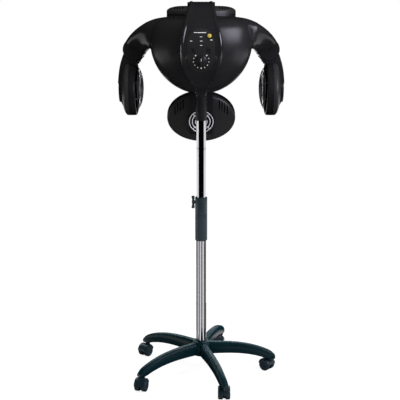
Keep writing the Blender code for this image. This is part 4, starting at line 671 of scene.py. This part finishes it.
key_outline = arc(0.009, range(200, 341, 14))
key_outline += [(0.0083, 0.004), (0.0078, 0.0066), (0.0068, 0.0072), (0.0030, 0.0060), (0.0, 0.0054),
                (-0.0030, 0.0056), (-0.0068, 0.0064), (-0.0078, 0.0058), (-0.0083, 0.004)]
for name, side in (("left", -1), ("right", 1)):
    key_place = panel_place(side * KEY_X, KEY_Z)
    key = solid(f"rocker_key_{name}", prism(key_outline, -0.0065, 0.0065, "X"), sharp=40, round_off=0.0006)
    key.data.transform(key_place @ Matrix.Translation((0, 0, -KEY_SUNK)))
    fit(key, gloss_abs, f"rocker_{name}", "black_gloss", f"rocker_{name}")
    key_frame = prism(rectangle(0.0085, 0.0112), -0.0002, 0.0012, "Z")
    key_frame = solid(f"rocker_frame_{name}", key_frame, round_off=0.0005)
    carve(key_frame, solid("hole", prism(rectangle(0.0069, 0.0096), -0.01, 0.01, "Z")))
    key_frame.data.transform(key_place)
    fit(key_frame, plate_abs, "hood", "black_satin")

# amber acrylic, prismatic inside: the amber is painted in small light and dull cells under a smooth face, a
# painted glint of the prism facets
amber, lens_shader = new_finish("acrylic_amber_lens", {"Roughness": 0.10, "Coat Weight": 0.4})
lens_coord = add_node(amber, "ShaderNodeTexCoord")
lens_glint_cells = add_node(amber, "ShaderNodeTexVoronoi", {"Scale": 420.0}, {"Vector": (lens_coord, "Object")})
lens_mix = add_node(amber, "ShaderNodeMix", {"data_type": "RGBA", 6: linear("#8c7722"), 7: linear("#c9b75c")},
                    {0: (lens_glint_cells, "Distance")})
amber.node_tree.links.new(lens_mix.outputs[2], lens_shader.inputs["Base Color"])
lens = spun([(0.005, -0.011), (0.005, 0.0008), (0.0080, 0.0008), (0.0080, 0.0022), (0.0076, 0.0034),
             (0.0066, 0.0047), (0.0050, 0.0057), (0.0030, 0.0061), (0.0010, 0.0062)], 48)
lens_obj = solid("lamp_lens", lens)
collar = spun([(0.0084, -0.0002), (0.0108, -0.0002), (0.0106, 0.0014), (0.0088, 0.0018)], 48, closed=True)
collar_obj = solid("lamp_collar", collar)
for obj in (lens_obj, collar_obj):
    obj.data.transform(panel_place(LAMP_X, LAMP_Z))
fit(lens_obj, amber, "hood", "amber_lens", "indicator_lamp")
fit(collar_obj, gloss_abs, "hood", "black_gloss")

# ---------------------------------------------------------------- arms
# Four hollow arms blow-moulded in gloss black ABS: two long ones bend out and down at the
# sides, and two short ones hold the top and the nape head. Each ends in a round elbow.
ELBOW_RADIUS, ELBOW_LIFT, ELBOW_OUT = 0.044, 0.159, -0.018  # lift and out: from the head's middle
RIB_HALF = 0.047
BRACKET_HALF, RISER_LOW = 0.046, 1.3983
ARM_ROOT_TOP = 1.473
ARM_ROOT_X, ARM_EXIT_X = 0.0498, 0.203
NAPE_TILT = radians(20.0)


def head_place(centre, out, up):
    """A head's place: local z out of its back, local y up to its elbow."""
    across = up.cross(out)
    return Matrix.Translation(centre) @ Matrix((across, up, out)).transposed().to_4x4()


HEADS = {
    "left": head_place(Vector((-0.288, 0.150, 1.180)), Vector((-1, 0, 0)), Vector((0, 0, 1))),
    "right": head_place(Vector((0.288, 0.150, 1.180)), Vector((1, 0, 0)), Vector((0, 0, 1))),
    "top": head_place(Vector((0, 0.190, 1.478)), Vector((0, 0, 1)), Vector((0, -1, 0))),
    "nape": head_place(Vector((0, 0.140, 1.065)), Vector((0, -cos(NAPE_TILT), -sin(NAPE_TILT))),
                       Vector((0, -sin(NAPE_TILT), cos(NAPE_TILT)))),
}
ELBOW_SPOT = Matrix.Translation((0, ELBOW_LIFT, ELBOW_OUT))
ELBOWS = {name: place @ ELBOW_SPOT for name, place in HEADS.items()}
TO_AXIS = Matrix.Rotation(pi / 2, 4, "Y")  # turns what is spun round Z on to the elbow's axis


def elbow_end(name):
    """The arm's round end on the elbow's axis, with its slot for the head's lug and the pin."""
    barrel = spun([(0.036, -RIB_HALF + 0.0006), (0.040, -RIB_HALF), (0.0426, -RIB_HALF),
                   (ELBOW_RADIUS, -RIB_HALF + 0.0014), (ELBOW_RADIUS, RIB_HALF - 0.0014),
                   (0.0426, RIB_HALF), (0.040, RIB_HALF), (0.036, RIB_HALF - 0.0006)], 96)
    end = solid("elbow", moved(barrel, TO_AXIS))
    mouth = arc(0.0136, range(120, -121, -20)) + arc(0.0642, (218, 142))
    carve(end, solid("mouth", prism(mouth, -0.0153, 0.0153, "X")))
    pin = moved(spun([(0.005, -0.019), (0.005, 0.019)], 32), TO_AXIS)
    whole = merged("elbow_end", [end, solid("pin", pin)])
    whole.data.transform(ELBOWS[name])
    return whole


def rounded_section(segments=40, power=4.2):
    """A rounded square, one unit each way from its middle."""
    points = []
    for index in range(segments):
        c, s = cos(2 * pi * (index + 0.5) / segments), sin(2 * pi * (index + 0.5) / segments)
        size = (abs(c) ** power + abs(s) ** power) ** (-1.0 / power)
        points.append((size * c, size * s, 0.0))
    return points


def fit_arm(name, limb):
    """Joins a limb to its elbow's end and fits it as one arm."""
    whole = merged(f"arm_{name}_moulding", [limb, elbow_end(name)])
    fit(whole, gloss_abs, "hood", "black_gloss", f"arm_{name}")


for name, side in (("left", -1), ("right", 1)):
    elbow = ELBOWS[name].translation
    root_x, exit_x = side * ARM_ROOT_X, side * ARM_EXIT_X
    rows = []  # x, y, z, lean outwards, half width and half thickness down the arm
    for share, thick, drop in ((0.0, 0.066, 0.0), (0.45, 0.0625, 0.003), (0.78, 0.0580, 0.010),
                               (1.0, 0.0525, 0.022)):
        rows.append((root_x + (exit_x - root_x) * share, 0.026 + 0.018 * share**2,
                     ARM_ROOT_TOP - thick - drop, 0.10 * share**2, 0.047, thick))
    shoulder = Vector(rows[-1][:3])
    reach = elbow - shoulder
    for share_x, share_y, share_z, lean, thick in (
        (0.213, 0.12, 0.118, 0.262, 0.0487), (0.443, 0.33, 0.314, 0.522, 0.0466),
        (0.664, 0.57, 0.550, 0.726, 0.0462), (0.843, 0.81, 0.793, 0.844, 0.0462),
    ):
        rows.append((shoulder.x + reach.x * share_x, shoulder.y + reach.y * share_y,
                     shoulder.z + reach.z * share_z, lean, 0.047, thick))
    rows.append((elbow.x - side * 0.0025 * 0.895, elbow.y, elbow.z - 0.0025 * 0.446, 0.895, 0.046, 0.0465))
    places = []
    for x, y, z, lean, half_width, thick in zip(*smooth_rows(rows, 56)):
        thick_axis = Vector((side * lean, 0, sqrt(1 - lean**2)))
        across = Vector((0, 1, 0))
        along = across.cross(thick_axis)
        turn = Matrix((across * half_width, thick_axis * thick, along)).transposed().to_4x4()
        places.append(Matrix.Translation((x, y, z)) @ turn)
    fit_arm(name, solid("arm", swept(rounded_section(), places), sharp=60))

axis = ELBOWS["top"].translation
back_y, front_y = axis.y - 0.0044, axis.y - 0.041
outline = [(front_y, RISER_LOW), (back_y, RISER_LOW), (back_y, axis.z), (front_y, axis.z)]
riser = prism(outline, -BRACKET_HALF, BRACKET_HALF, "X")
fit_arm("top", solid("riser", riser, round_off=0.004, steps=4))

axis = ELBOWS["nape"].translation
outline = [(0.030, axis.z + 0.0052), (axis.y, axis.z - 0.0088), (axis.y + 0.0396, axis.z + 0.0044),
           (axis.y + 0.0264, axis.z + 0.0418), (0.052, axis.z + 0.0968), (0.030, axis.z + 0.0968)]
bracket = prism(outline, -BRACKET_HALF, BRACKET_HALF, "X")
fit_arm("nape", solid("bracket", bracket, round_off=0.006, steps=4))

# ---------------------------------------------------------------- heads: outer shells
# Each head has a gloss black oval shell with a raised band that runs from its foot up to
# the elbow, a round air intake in the band, and cooling slots in the two upper corners.
HALF_LONG, HALF_WIDE = 0.140, 0.109
GUARD_SEAT = 0.0515
CROWN_INSET, CROWN_LOW, CROWN_RISE = 0.062, 0.009, 0.021
VENT_HALF_WIDE, VENT_HALF_LONG, VENT_PITCH = 0.00225, 0.0200, 0.011
BAND_HIGH, BAND_FOOT, BAND_STEPS = 0.0479, 0.0034, 43
CUP_RADIUS, CUP_ANGLE = 0.0447, radians(65)  # the band's hollow round the elbow, and where it starts


def oval_ring(shape, inset, z, segments=112):
    """A ring of edges round the head's oval, at an inset and a height."""
    ring = bmesh.ops.create_circle(shape, segments=segments, radius=1.0)["verts"]
    bmesh.ops.scale(shape, vec=(HALF_LONG - inset, HALF_WIDE - inset, 1), verts=ring)
    bmesh.ops.translate(shape, vec=(0, 0, z), verts=ring)
    return list(dict.fromkeys(edge for vert in ring for edge in vert.link_edges))


def oval_skin(rows, closed):
    """Skins a row of (inset, height) ovals; closed joins the last to the first."""
    shape = bmesh.new()
    loops = [oval_ring(shape, inset, z) for inset, z in rows]
    pairs = list(zip(loops, loops[1:])) + ([(loops[-1], loops[0])] if closed else [])
    for first, second in pairs:
        bmesh.ops.bridge_loops(shape, edges=first + second)
    if not closed:
        bmesh.ops.holes_fill(shape, edges=[edge for edge in shape.edges if edge.is_boundary])
    return shape


crown_rows = [(0.0, 0.0003), (0.0, 0.0060), (0.0, CROWN_LOW)]
for step in range(1, 15):
    inset = CROWN_INSET * (step / 14) ** 1.8
    rise = (1 - (1 - inset / CROWN_INSET) ** 2.05) ** (1 / 2.05)
    crown_rows.append((inset, CROWN_LOW + CROWN_RISE * rise))
dish = solid("dish", oval_skin(crown_rows, False), sharp=45)
hollow_rows = [(0.003, -0.004), (0.003, 0.009), (0.009, 0.0175), (0.026, 0.0240), (0.062, 0.0270)]
carve(dish, solid("hollow", oval_skin(hollow_rows, False)))
carve(dish, solid("intake", spun([(0.0540, -0.02), (0.0540, 0.06)], 96)))
for side in (-1, 1):
    for index in range(4):
        x = HALF_LONG * 0.76 - index * VENT_PITCH
        high = (HALF_WIDE - 0.006) * sqrt(max(1 - (x / (HALF_LONG - 0.006)) ** 2, 0.04))
        vent = prism(rectangle(VENT_HALF_WIDE, VENT_HALF_LONG), 0.004, 0.06, "Z")
        moved(vent, Matrix.Translation((side * x, high - VENT_HALF_LONG, 0)))
        carve(dish, solid("vent", vent, sharp=60, round_off=0.0019, steps=4))
smoothed(dish)

cup_y = ELBOW_LIFT - ELBOW_RADIUS * cos(CUP_ANGLE)
cup_z = ELBOW_OUT + (ELBOW_RADIUS + 0.003) * sin(CUP_ANGLE)
line_y = [share * HALF_WIDE for share in (-0.88, -0.77, -0.38, 0.0, 0.52, 0.92)] + [cup_y]
line_z = [BAND_HIGH * share for share in (0.10, 0.38, 0.84, 1.0, 0.94, 0.78)] + [cup_z]
outline = [(line_y[0], BAND_FOOT)]
for index, height in enumerate(smooth_values(line_y, line_z, BAND_STEPS + 1)):
    outline.append((line_y[0] + (cup_y - line_y[0]) * index / BAND_STEPS, height))
outline += [(ELBOW_LIFT - 0.049 * cos(radians(a)), ELBOW_OUT - 0.049 * sin(radians(a))) for a in (52, 44, 37)]
outline += [(0.1105, -0.0405), (0.0872, -0.0351), (0.0872, BAND_FOOT)]
band_obj = solid("band", prism(outline, -RIB_HALF, RIB_HALF, "X"), sharp=50, round_off=0.0050, steps=5)
carve(band_obj, solid("bezel_space", oval_skin([(-0.0003, -0.09), (-0.0003, 0.0003)], False)))
carve(band_obj, solid("bore", spun([(0.0530, -0.02), (0.0530, 0.08)], 128)))
elbow_room = spun([(CUP_RADIUS, -0.06), (CUP_RADIUS, 0.06)], 96)
carve(band_obj, solid("room", moved(elbow_room, ELBOW_SPOT @ TO_AXIS)))
smoothed(band_obj)

boss = spun([(0.0495, 0.006), (0.0495, 0.0426), (GUARD_SEAT, 0.0426), (GUARD_SEAT, 0.0450), (0.0520, 0.0455),
             (0.0545, 0.0455), (0.0556, 0.0448), (0.0560, 0.0435), (0.0560, 0.020), (0.0535, 0.020),
             (0.0535, 0.006)], 128, closed=True)
lug = arc(0.013, range(147, -148, -14), (ELBOW_LIFT, ELBOW_OUT))
lug += [(ELBOW_LIFT - 0.0466, ELBOW_OUT - 0.0072), (ELBOW_LIFT - 0.0466, ELBOW_OUT + 0.0072)]
lug_obj = solid("lug", prism(lug, -0.015, 0.015, "X"))
lug_bore = spun([(0.0053, -0.02), (0.0053, 0.02)], 32)
carve(lug_obj, solid("lug_bore", moved(lug_bore, ELBOW_SPOT @ TO_AXIS)))
shell_master = merged("shell", [dish, lug_obj])
band_master = merged("band", [band_obj, solid("boss", boss, sharp=40)])
# ABS off a grained mould: charcoal, so that the gloss band stands out on it
shell_abs = moulded("abs_head_black", "#222222", "#2d2d2d", 0.34, 1.2, 0.020, 0.05, ior=1.38)

# ---------------------------------------------------------------- heads: front rings and grilles
# The front ring is satin black ABS. It clamps a bulging grille of grey-coated steel wire,
# oval rings welded on ribs, through which the warm air leaves.
GRILLE_START, GRILLE_LAST = 0.0188, 0.097
GRILLE_SEAT, GRILLE_BULGE = -0.0184, 0.0297
RIB_START, RIB_COUNT, RING_COUNT = 0.0170, 8, 9
RING_WIRE, RIB_WIRE, RIB_INSIDE = 0.0012, 0.0013, 0.0017  # wire radii; the ribs lie inside the rings
ring_rows = [(0.0, -0.0002), (0.0, -0.0180), (0.0006, -0.0215), (0.0020, -0.0245), (0.0042, -0.0263),
             (0.0070, -0.0270), (0.0140, -0.0270), (0.0156, -0.0264), (0.0160, -0.0252), (0.0160, -0.0200),
             (0.0120, -0.0200), (0.0120, -0.0002)]
ring_master = solid("ring", oval_skin(ring_rows, True), sharp=40)


def wire(name, points, radius, cyclic):
    """Round wire along a row of points."""
    curve = bpy.data.curves.new(name, "CURVE")
    curve.dimensions = "3D"
    curve.bevel_depth = radius
    curve.bevel_resolution = 3
    curve.use_fill_caps = True
    spline = curve.splines.new("POLY")
    spline.points.add(len(points) - 1)
    for target, point in zip(spline.points, points):
        target.co = (*point, 1.0)
    spline.use_cyclic_u = cyclic
    obj = linked(name, curve)
    settled = obj.evaluated_get(bpy.context.evaluated_depsgraph_get())
    shape = bmesh.new()
    shape.from_mesh(bpy.data.meshes.new_from_object(settled))
    bpy.data.objects.remove(obj)
    return solid(name, shape, sharp=60)


def bulge(inset):
    """The grille's height at an inset from the head's edge."""
    share = min(max((inset - GRILLE_START) / (GRILLE_LAST - GRILLE_START), 0.0), 1.0)
    return GRILLE_SEAT - GRILLE_BULGE * sqrt(max(1 - (1 - share) ** 2.4, 0.0))


def oval_point(inset, angle, z):
    """A point on the head's oval, at an inset and an angle."""
    return (HALF_LONG - inset) * cos(angle), (HALF_WIDE - inset) * sin(angle), z


edge_rows = [(0.0150, -0.0171), (0.0150, -0.0197), (0.0188, -0.0197), (0.0188, -0.0171)]
wires = [solid("rim", oval_skin(edge_rows, True))]
for index in range(1, RING_COUNT + 1):
    inset = GRILLE_START + (GRILLE_LAST - GRILLE_START) * (index / RING_COUNT) ** 0.94
    points = [oval_point(inset, 2 * pi * i / 88, bulge(inset)) for i in range(88)]
    wires.append(wire("ring_wire", points, RING_WIRE, True))
for index in range(RIB_COUNT):
    angle = 2 * pi * (index + 0.5) / RIB_COUNT
    insets = [RIB_START + (GRILLE_LAST - RIB_START) * step / 21 for step in range(22)]
    points = [oval_point(inset, angle, bulge(inset) + RIB_INSIDE) for inset in insets]
    wires.append(wire("rib_wire", points, RIB_WIRE, False))
cap = oval_skin([(0.0945, -0.0462), (0.0945, -0.0486), (0.0985, -0.0494)], False)
wires.append(solid("cap", cap, sharp=30))
grille_master = merged("wires", wires)

# ---------------------------------------------------------------- heads: ring guards
# Chrome wire guard in the mouth of the intake: three rings on four spokes with a hub,
# sprung into its seat. The finished pieces of all four heads are set in place here.
RINGS_Z, SPOKES_Z = 0.0442, 0.0431
guard_parts = []
for radius, thick in ((0.0484, 0.0019), (0.0365, 0.0017), (0.0235, 0.0017)):
    rim_points = [(radius + thick * cos(2 * pi * i / 12), RINGS_Z + 0.8 * thick * sin(2 * pi * i / 12))
                  for i in range(12)]
    guard_parts.append(solid("guard_ring", spun(rim_points, 96, closed=True), sharp=60))
for index in range(4):
    angle = 2 * pi * index / 4 + pi / 4
    ends = [(radius * cos(angle), radius * sin(angle), SPOKES_Z) for radius in (0.0, 0.0500)]
    guard_parts.append(wire("spoke", ends, 0.0011, False))
hub = spun([(0.0001, 0.0462), (0.0050, 0.0458), (0.0066, 0.0445), (0.0066, 0.0425), (0.0001, 0.0425)], 40)
guard_parts.append(solid("hub", hub))
guard_master = merged("guard", guard_parts)

# powder coat with metal flake on steel wire, a dull mid grey; on the guard, bright plate given a near-white
# colour and
# little metal: a painted shine, pale and blurred, that stays bright among the black pieces round it
wire_steel = moulded("powder_coated_wire_grey", "#58585b", "#6b6b6e", 0.38, 0.6, 0.010, 0.06, metallic=0.55)
guard_painted_shine = plated("plated_wire_painted_shine", "#efeff0", 0.28, 0.06, metal=0.25)
masters = (
    (shell_master, "head_shell_moulding", shell_abs, "black_gloss", "head_shell"),
    (band_master, "head_shell_band", gloss_abs, "black_gloss", None),
    (ring_master, "head_front_ring", satin_abs, "black_satin", "bezel"),
    (grille_master, "head_grille_wires", wire_steel, "wire_grey", "grille"),
    (guard_master, "intake_ring_guard", guard_painted_shine, "bright_chrome", "intake_guard"),
)
for name, place in HEADS.items():
    for master, label, material, slot_name, cad in masters:
        mesh = master.data.copy()
        mesh.transform(place)
        nodes = [f"{cad}_{name}"] if cad else []
        fit(linked(f"{label}_{name}", mesh), material, f"head_{name}", slot_name, *nodes)
for master, *_ in masters:
    bpy.data.objects.remove(master)

# ---------------------------------------------------------------- heads: fans, motors, heating plates
# Inside each head: a moulded fan, a small shaded-pole motor on three struts, and a dark
# mica board with its heating ribbon. Only glimpses of them show through the guards.
# dull black nylon, rolled steel with a grey shine, and mica board, brown-black and matt
fan_nylon = moulded("nylon_fan_black", "#101011", "#19191a", 0.40, 0.8, 0.010, 0.05)
motor_steel = plated("stamped_steel_motor", "#77787a", 0.35, 0.10)
mica_board = moulded("mica_board_dark", "#1d1a17", "#2b2622", 0.55, 1.5, 0.040, 0.10)
for name in HEADS:
    for kind, material in (("fan", fan_nylon), ("motor", motor_steel), ("heater", mica_board)):
        coat(frame["nodes"][f"{kind}_{name}"], material)
# the bush in the pole and the timer's case behind the plate, which are hidden as well
for node_name, material in (("guide_bush", sleeve_abs), ("timer_body", satin_abs)):
    coat(frame["nodes"][node_name], material)

# ---------------------------------------------------------------- studio
# Pale floor and white surround, with soft lights at the sides and above. Black cloths in
# front, round, above and on the floor are seen only where polished pieces mirror them.
scene = bpy.context.scene
scene.view_settings.view_transform = "Standard"


def seen_directly(owner):
    """1 for the camera and for what polished or clear pieces show, 0 for the light they pass on."""
    path = add_node(owner, "ShaderNodeLightPath")
    direct = add_node(owner, "ShaderNodeMath", {"operation": "MAXIMUM"},
                      {0: (path, "Is Camera Ray"), 1: (path, "Is Glossy Ray")})
    return add_node(owner, "ShaderNodeMath", {"operation": "MAXIMUM"},
                    {0: (direct, 0), 1: (path, "Is Transmission Ray")})


paper = bpy.data.materials.new("studio_paper_white")
paper.use_nodes = True
paper.node_tree.nodes.remove(paper.node_tree.nodes["Principled BSDF"])
sheet_lit = add_node(paper, "ShaderNodeBsdfDiffuse", {"Color": linear("#e6e6e6")})
sheet_shaded = add_node(paper, "ShaderNodeBsdfDiffuse", {"Color": linear("#7c7c7c")})
sheet_glow = add_node(paper, "ShaderNodeEmission", {"Strength": 0.88})
sheet_sum = add_node(paper, "ShaderNodeAddShader", None, {0: (sheet_shaded, 0), 1: (sheet_glow, 0)})
sheet_mix = add_node(paper, "ShaderNodeMixShader", None,
                     {0: (seen_directly(paper), 0), 1: (sheet_lit, 0), 2: (sheet_sum, 0)})
surface = paper.node_tree.nodes["Material Output"].inputs["Surface"]
paper.node_tree.links.new(sheet_mix.outputs[0], surface)

floor_mesh = bmesh.new()
bmesh.ops.create_grid(floor_mesh, x_segments=1, y_segments=1, size=14.0)
floor = linked("studio_floor", as_mesh("studio_floor", floor_mesh))
floor.data.materials.append(paper)

world = bpy.data.worlds.new("studio_world")
scene.world = world
world.use_nodes = True
background = world.node_tree.nodes["Background"]
background.inputs["Color"].default_value = linear("#ffffff")
strength = add_node(world, "ShaderNodeMapRange", {3: 0.60, 4: 1.0}, {0: (seen_directly(world), 0)})
world.node_tree.links.new(strength.outputs[0], background.inputs["Strength"])


def softbox(name, place, aim, wide, tall, power, colour, mirrored, only=()):
    """A soft lamp; with a list of pieces it is flagged off from all others."""
    lamp = bpy.data.lights.new(name, "AREA")
    lamp.color = colour
    lamp.shape = "RECTANGLE"
    lamp.size = wide
    lamp.size_y = tall
    lamp.energy = power
    obj = linked(name, lamp)
    obj.location = place
    obj.rotation_euler = (Vector(aim) - Vector(place)).to_track_quat("-Z", "Y").to_euler()
    obj.visible_glossy = mirrored
    obj.visible_camera = False
    if only:
        lit = bpy.data.collections.new(f"{name}_pieces")
        for piece in only:
            lit.objects.link(piece)
        obj.light_linking.receiver_collection = lit


NEUTRAL, COOL, VIOLET = (1.0, 1.0, 1.0), (0.80, 0.95, 1.0), (0.87, 0.84, 1.0)
base_pieces = [obj for obj in scene.objects if obj.name.startswith(("star_base", "caster"))]
softbox("softbox_left", (-2.2, -0.9, 0.85), (0, 0, 1.2), 0.25, 1.1, 12, NEUTRAL, True, [spine_obj])
softbox("softbox_low", (0.1, 0.75, 0.88), (0, 0, 0.1), 1.9, 0.24, 38, COOL, True, base_pieces)
softbox("softbox_right", (2.0, -1.2, 1.88), (0, 0, 1.3), 2.4, 1.3, 46, VIOLET, True)
softbox("softbox_right_core", (1.9, -1.1, 1.90), (0, 0, 1.3), 1.2, 0.7, 11, VIOLET, True)
softbox("softbox_top", (0.3, -0.9, 3.5), (0, 0, 0.8), 1.6, 1.2, 44, NEUTRAL, False)

black_cloth, _ = new_finish("flag_black_cloth", {
    "Base Color": linear("#050505"), "Roughness": 1.0, "Specular IOR Level": 0.0})


def hidden_cloth(name, shape):
    """A cloth that only the mirrored rays meet."""
    obj = linked(name, as_mesh(name, shape))
    obj.data.materials.append(black_cloth)
    obj.visible_camera = False
    obj.visible_diffuse = False
    obj.visible_shadow = False
    obj.visible_transmission = False


def flag(name, from_degrees, to_degrees, first, last):
    """A black cloth swept round the pole between two (radius, height) points; 0 degrees is the front."""
    shape = bmesh.new()
    start = radians(-90 + from_degrees)
    ends = [shape.verts.new((radius * cos(start), radius * sin(start), z)) for radius, z in (first, last)]
    edge = shape.edges.new(ends)
    bmesh.ops.spin(shape, geom=[*ends, edge], axis=(0, 0, 1), cent=(0, 0, 0),
                   angle=radians(to_degrees - from_degrees), steps=24, use_merge=False)
    hidden_cloth(name, shape)


FLAG_RADIUS, FLAG_SPLIT = 2.6, 0.72
UNDER_RADIUS, CLOTH_Z = 0.36, 0.0006  # the cloth under the base, and how high those on the floor lie
flag("flag_front", -66, 66, (FLAG_RADIUS, 0.0), (FLAG_RADIUS, FLAG_SPLIT))
flag("flag_high_ring", -180, 180, (FLAG_RADIUS, FLAG_SPLIT), (FLAG_RADIUS, 3.4))
flag("flag_low_back", 120, 240, (0.45, 0.0), (0.45, 0.14))
# black wedges on the floor, which the lower tube shows as its dark stripes
for index, (start, end) in enumerate((
    (-160.2, -117.0), (-106.8, -82.3), (-60.7, -33.7), (-10.0, 12.5), (26.8, 39.9), (60.7, 91.7),
    (99.3, 137.9),
)):
    flag(f"flag_wedge_{index}", start, end, (UNDER_RADIUS, CLOTH_Z), (2.2, CLOTH_Z))
roof = bmesh.new()
bmesh.ops.create_grid(roof, x_segments=1, y_segments=1, size=3.5)
hidden_cloth("flag_roof", moved(roof, Matrix.Translation((0, 0, 3.9))))
# a skirt of cloth below the hood, so that the hood doesn't mirror the pale floor
skirt = bmesh.new()
bmesh.ops.create_cone(skirt, cap_ends=False, segments=64, radius1=1.1, radius2=0.06, depth=0.187)
hidden_cloth("flag_skirt", moved(skirt, Matrix.Translation((0, 0, 0.8565))))
under = bmesh.new()
bmesh.ops.create_circle(under, cap_ends=True, segments=64, radius=UNDER_RADIUS)
hidden_cloth("flag_under_base", moved(under, Matrix.Translation((0, 0, CLOTH_Z))))

camera = bpy.data.cameras.new("photo_camera")
camera.lens = 75.6
camera.sensor_width = 36
camera.shift_x = -0.003
camera_obj = linked("photo_camera", camera)
camera_obj.location = (0.0, -3.3, 1.55)
camera_obj.rotation_euler = (radians(90 - 13.7), 0, 0)
scene.camera = camera_obj
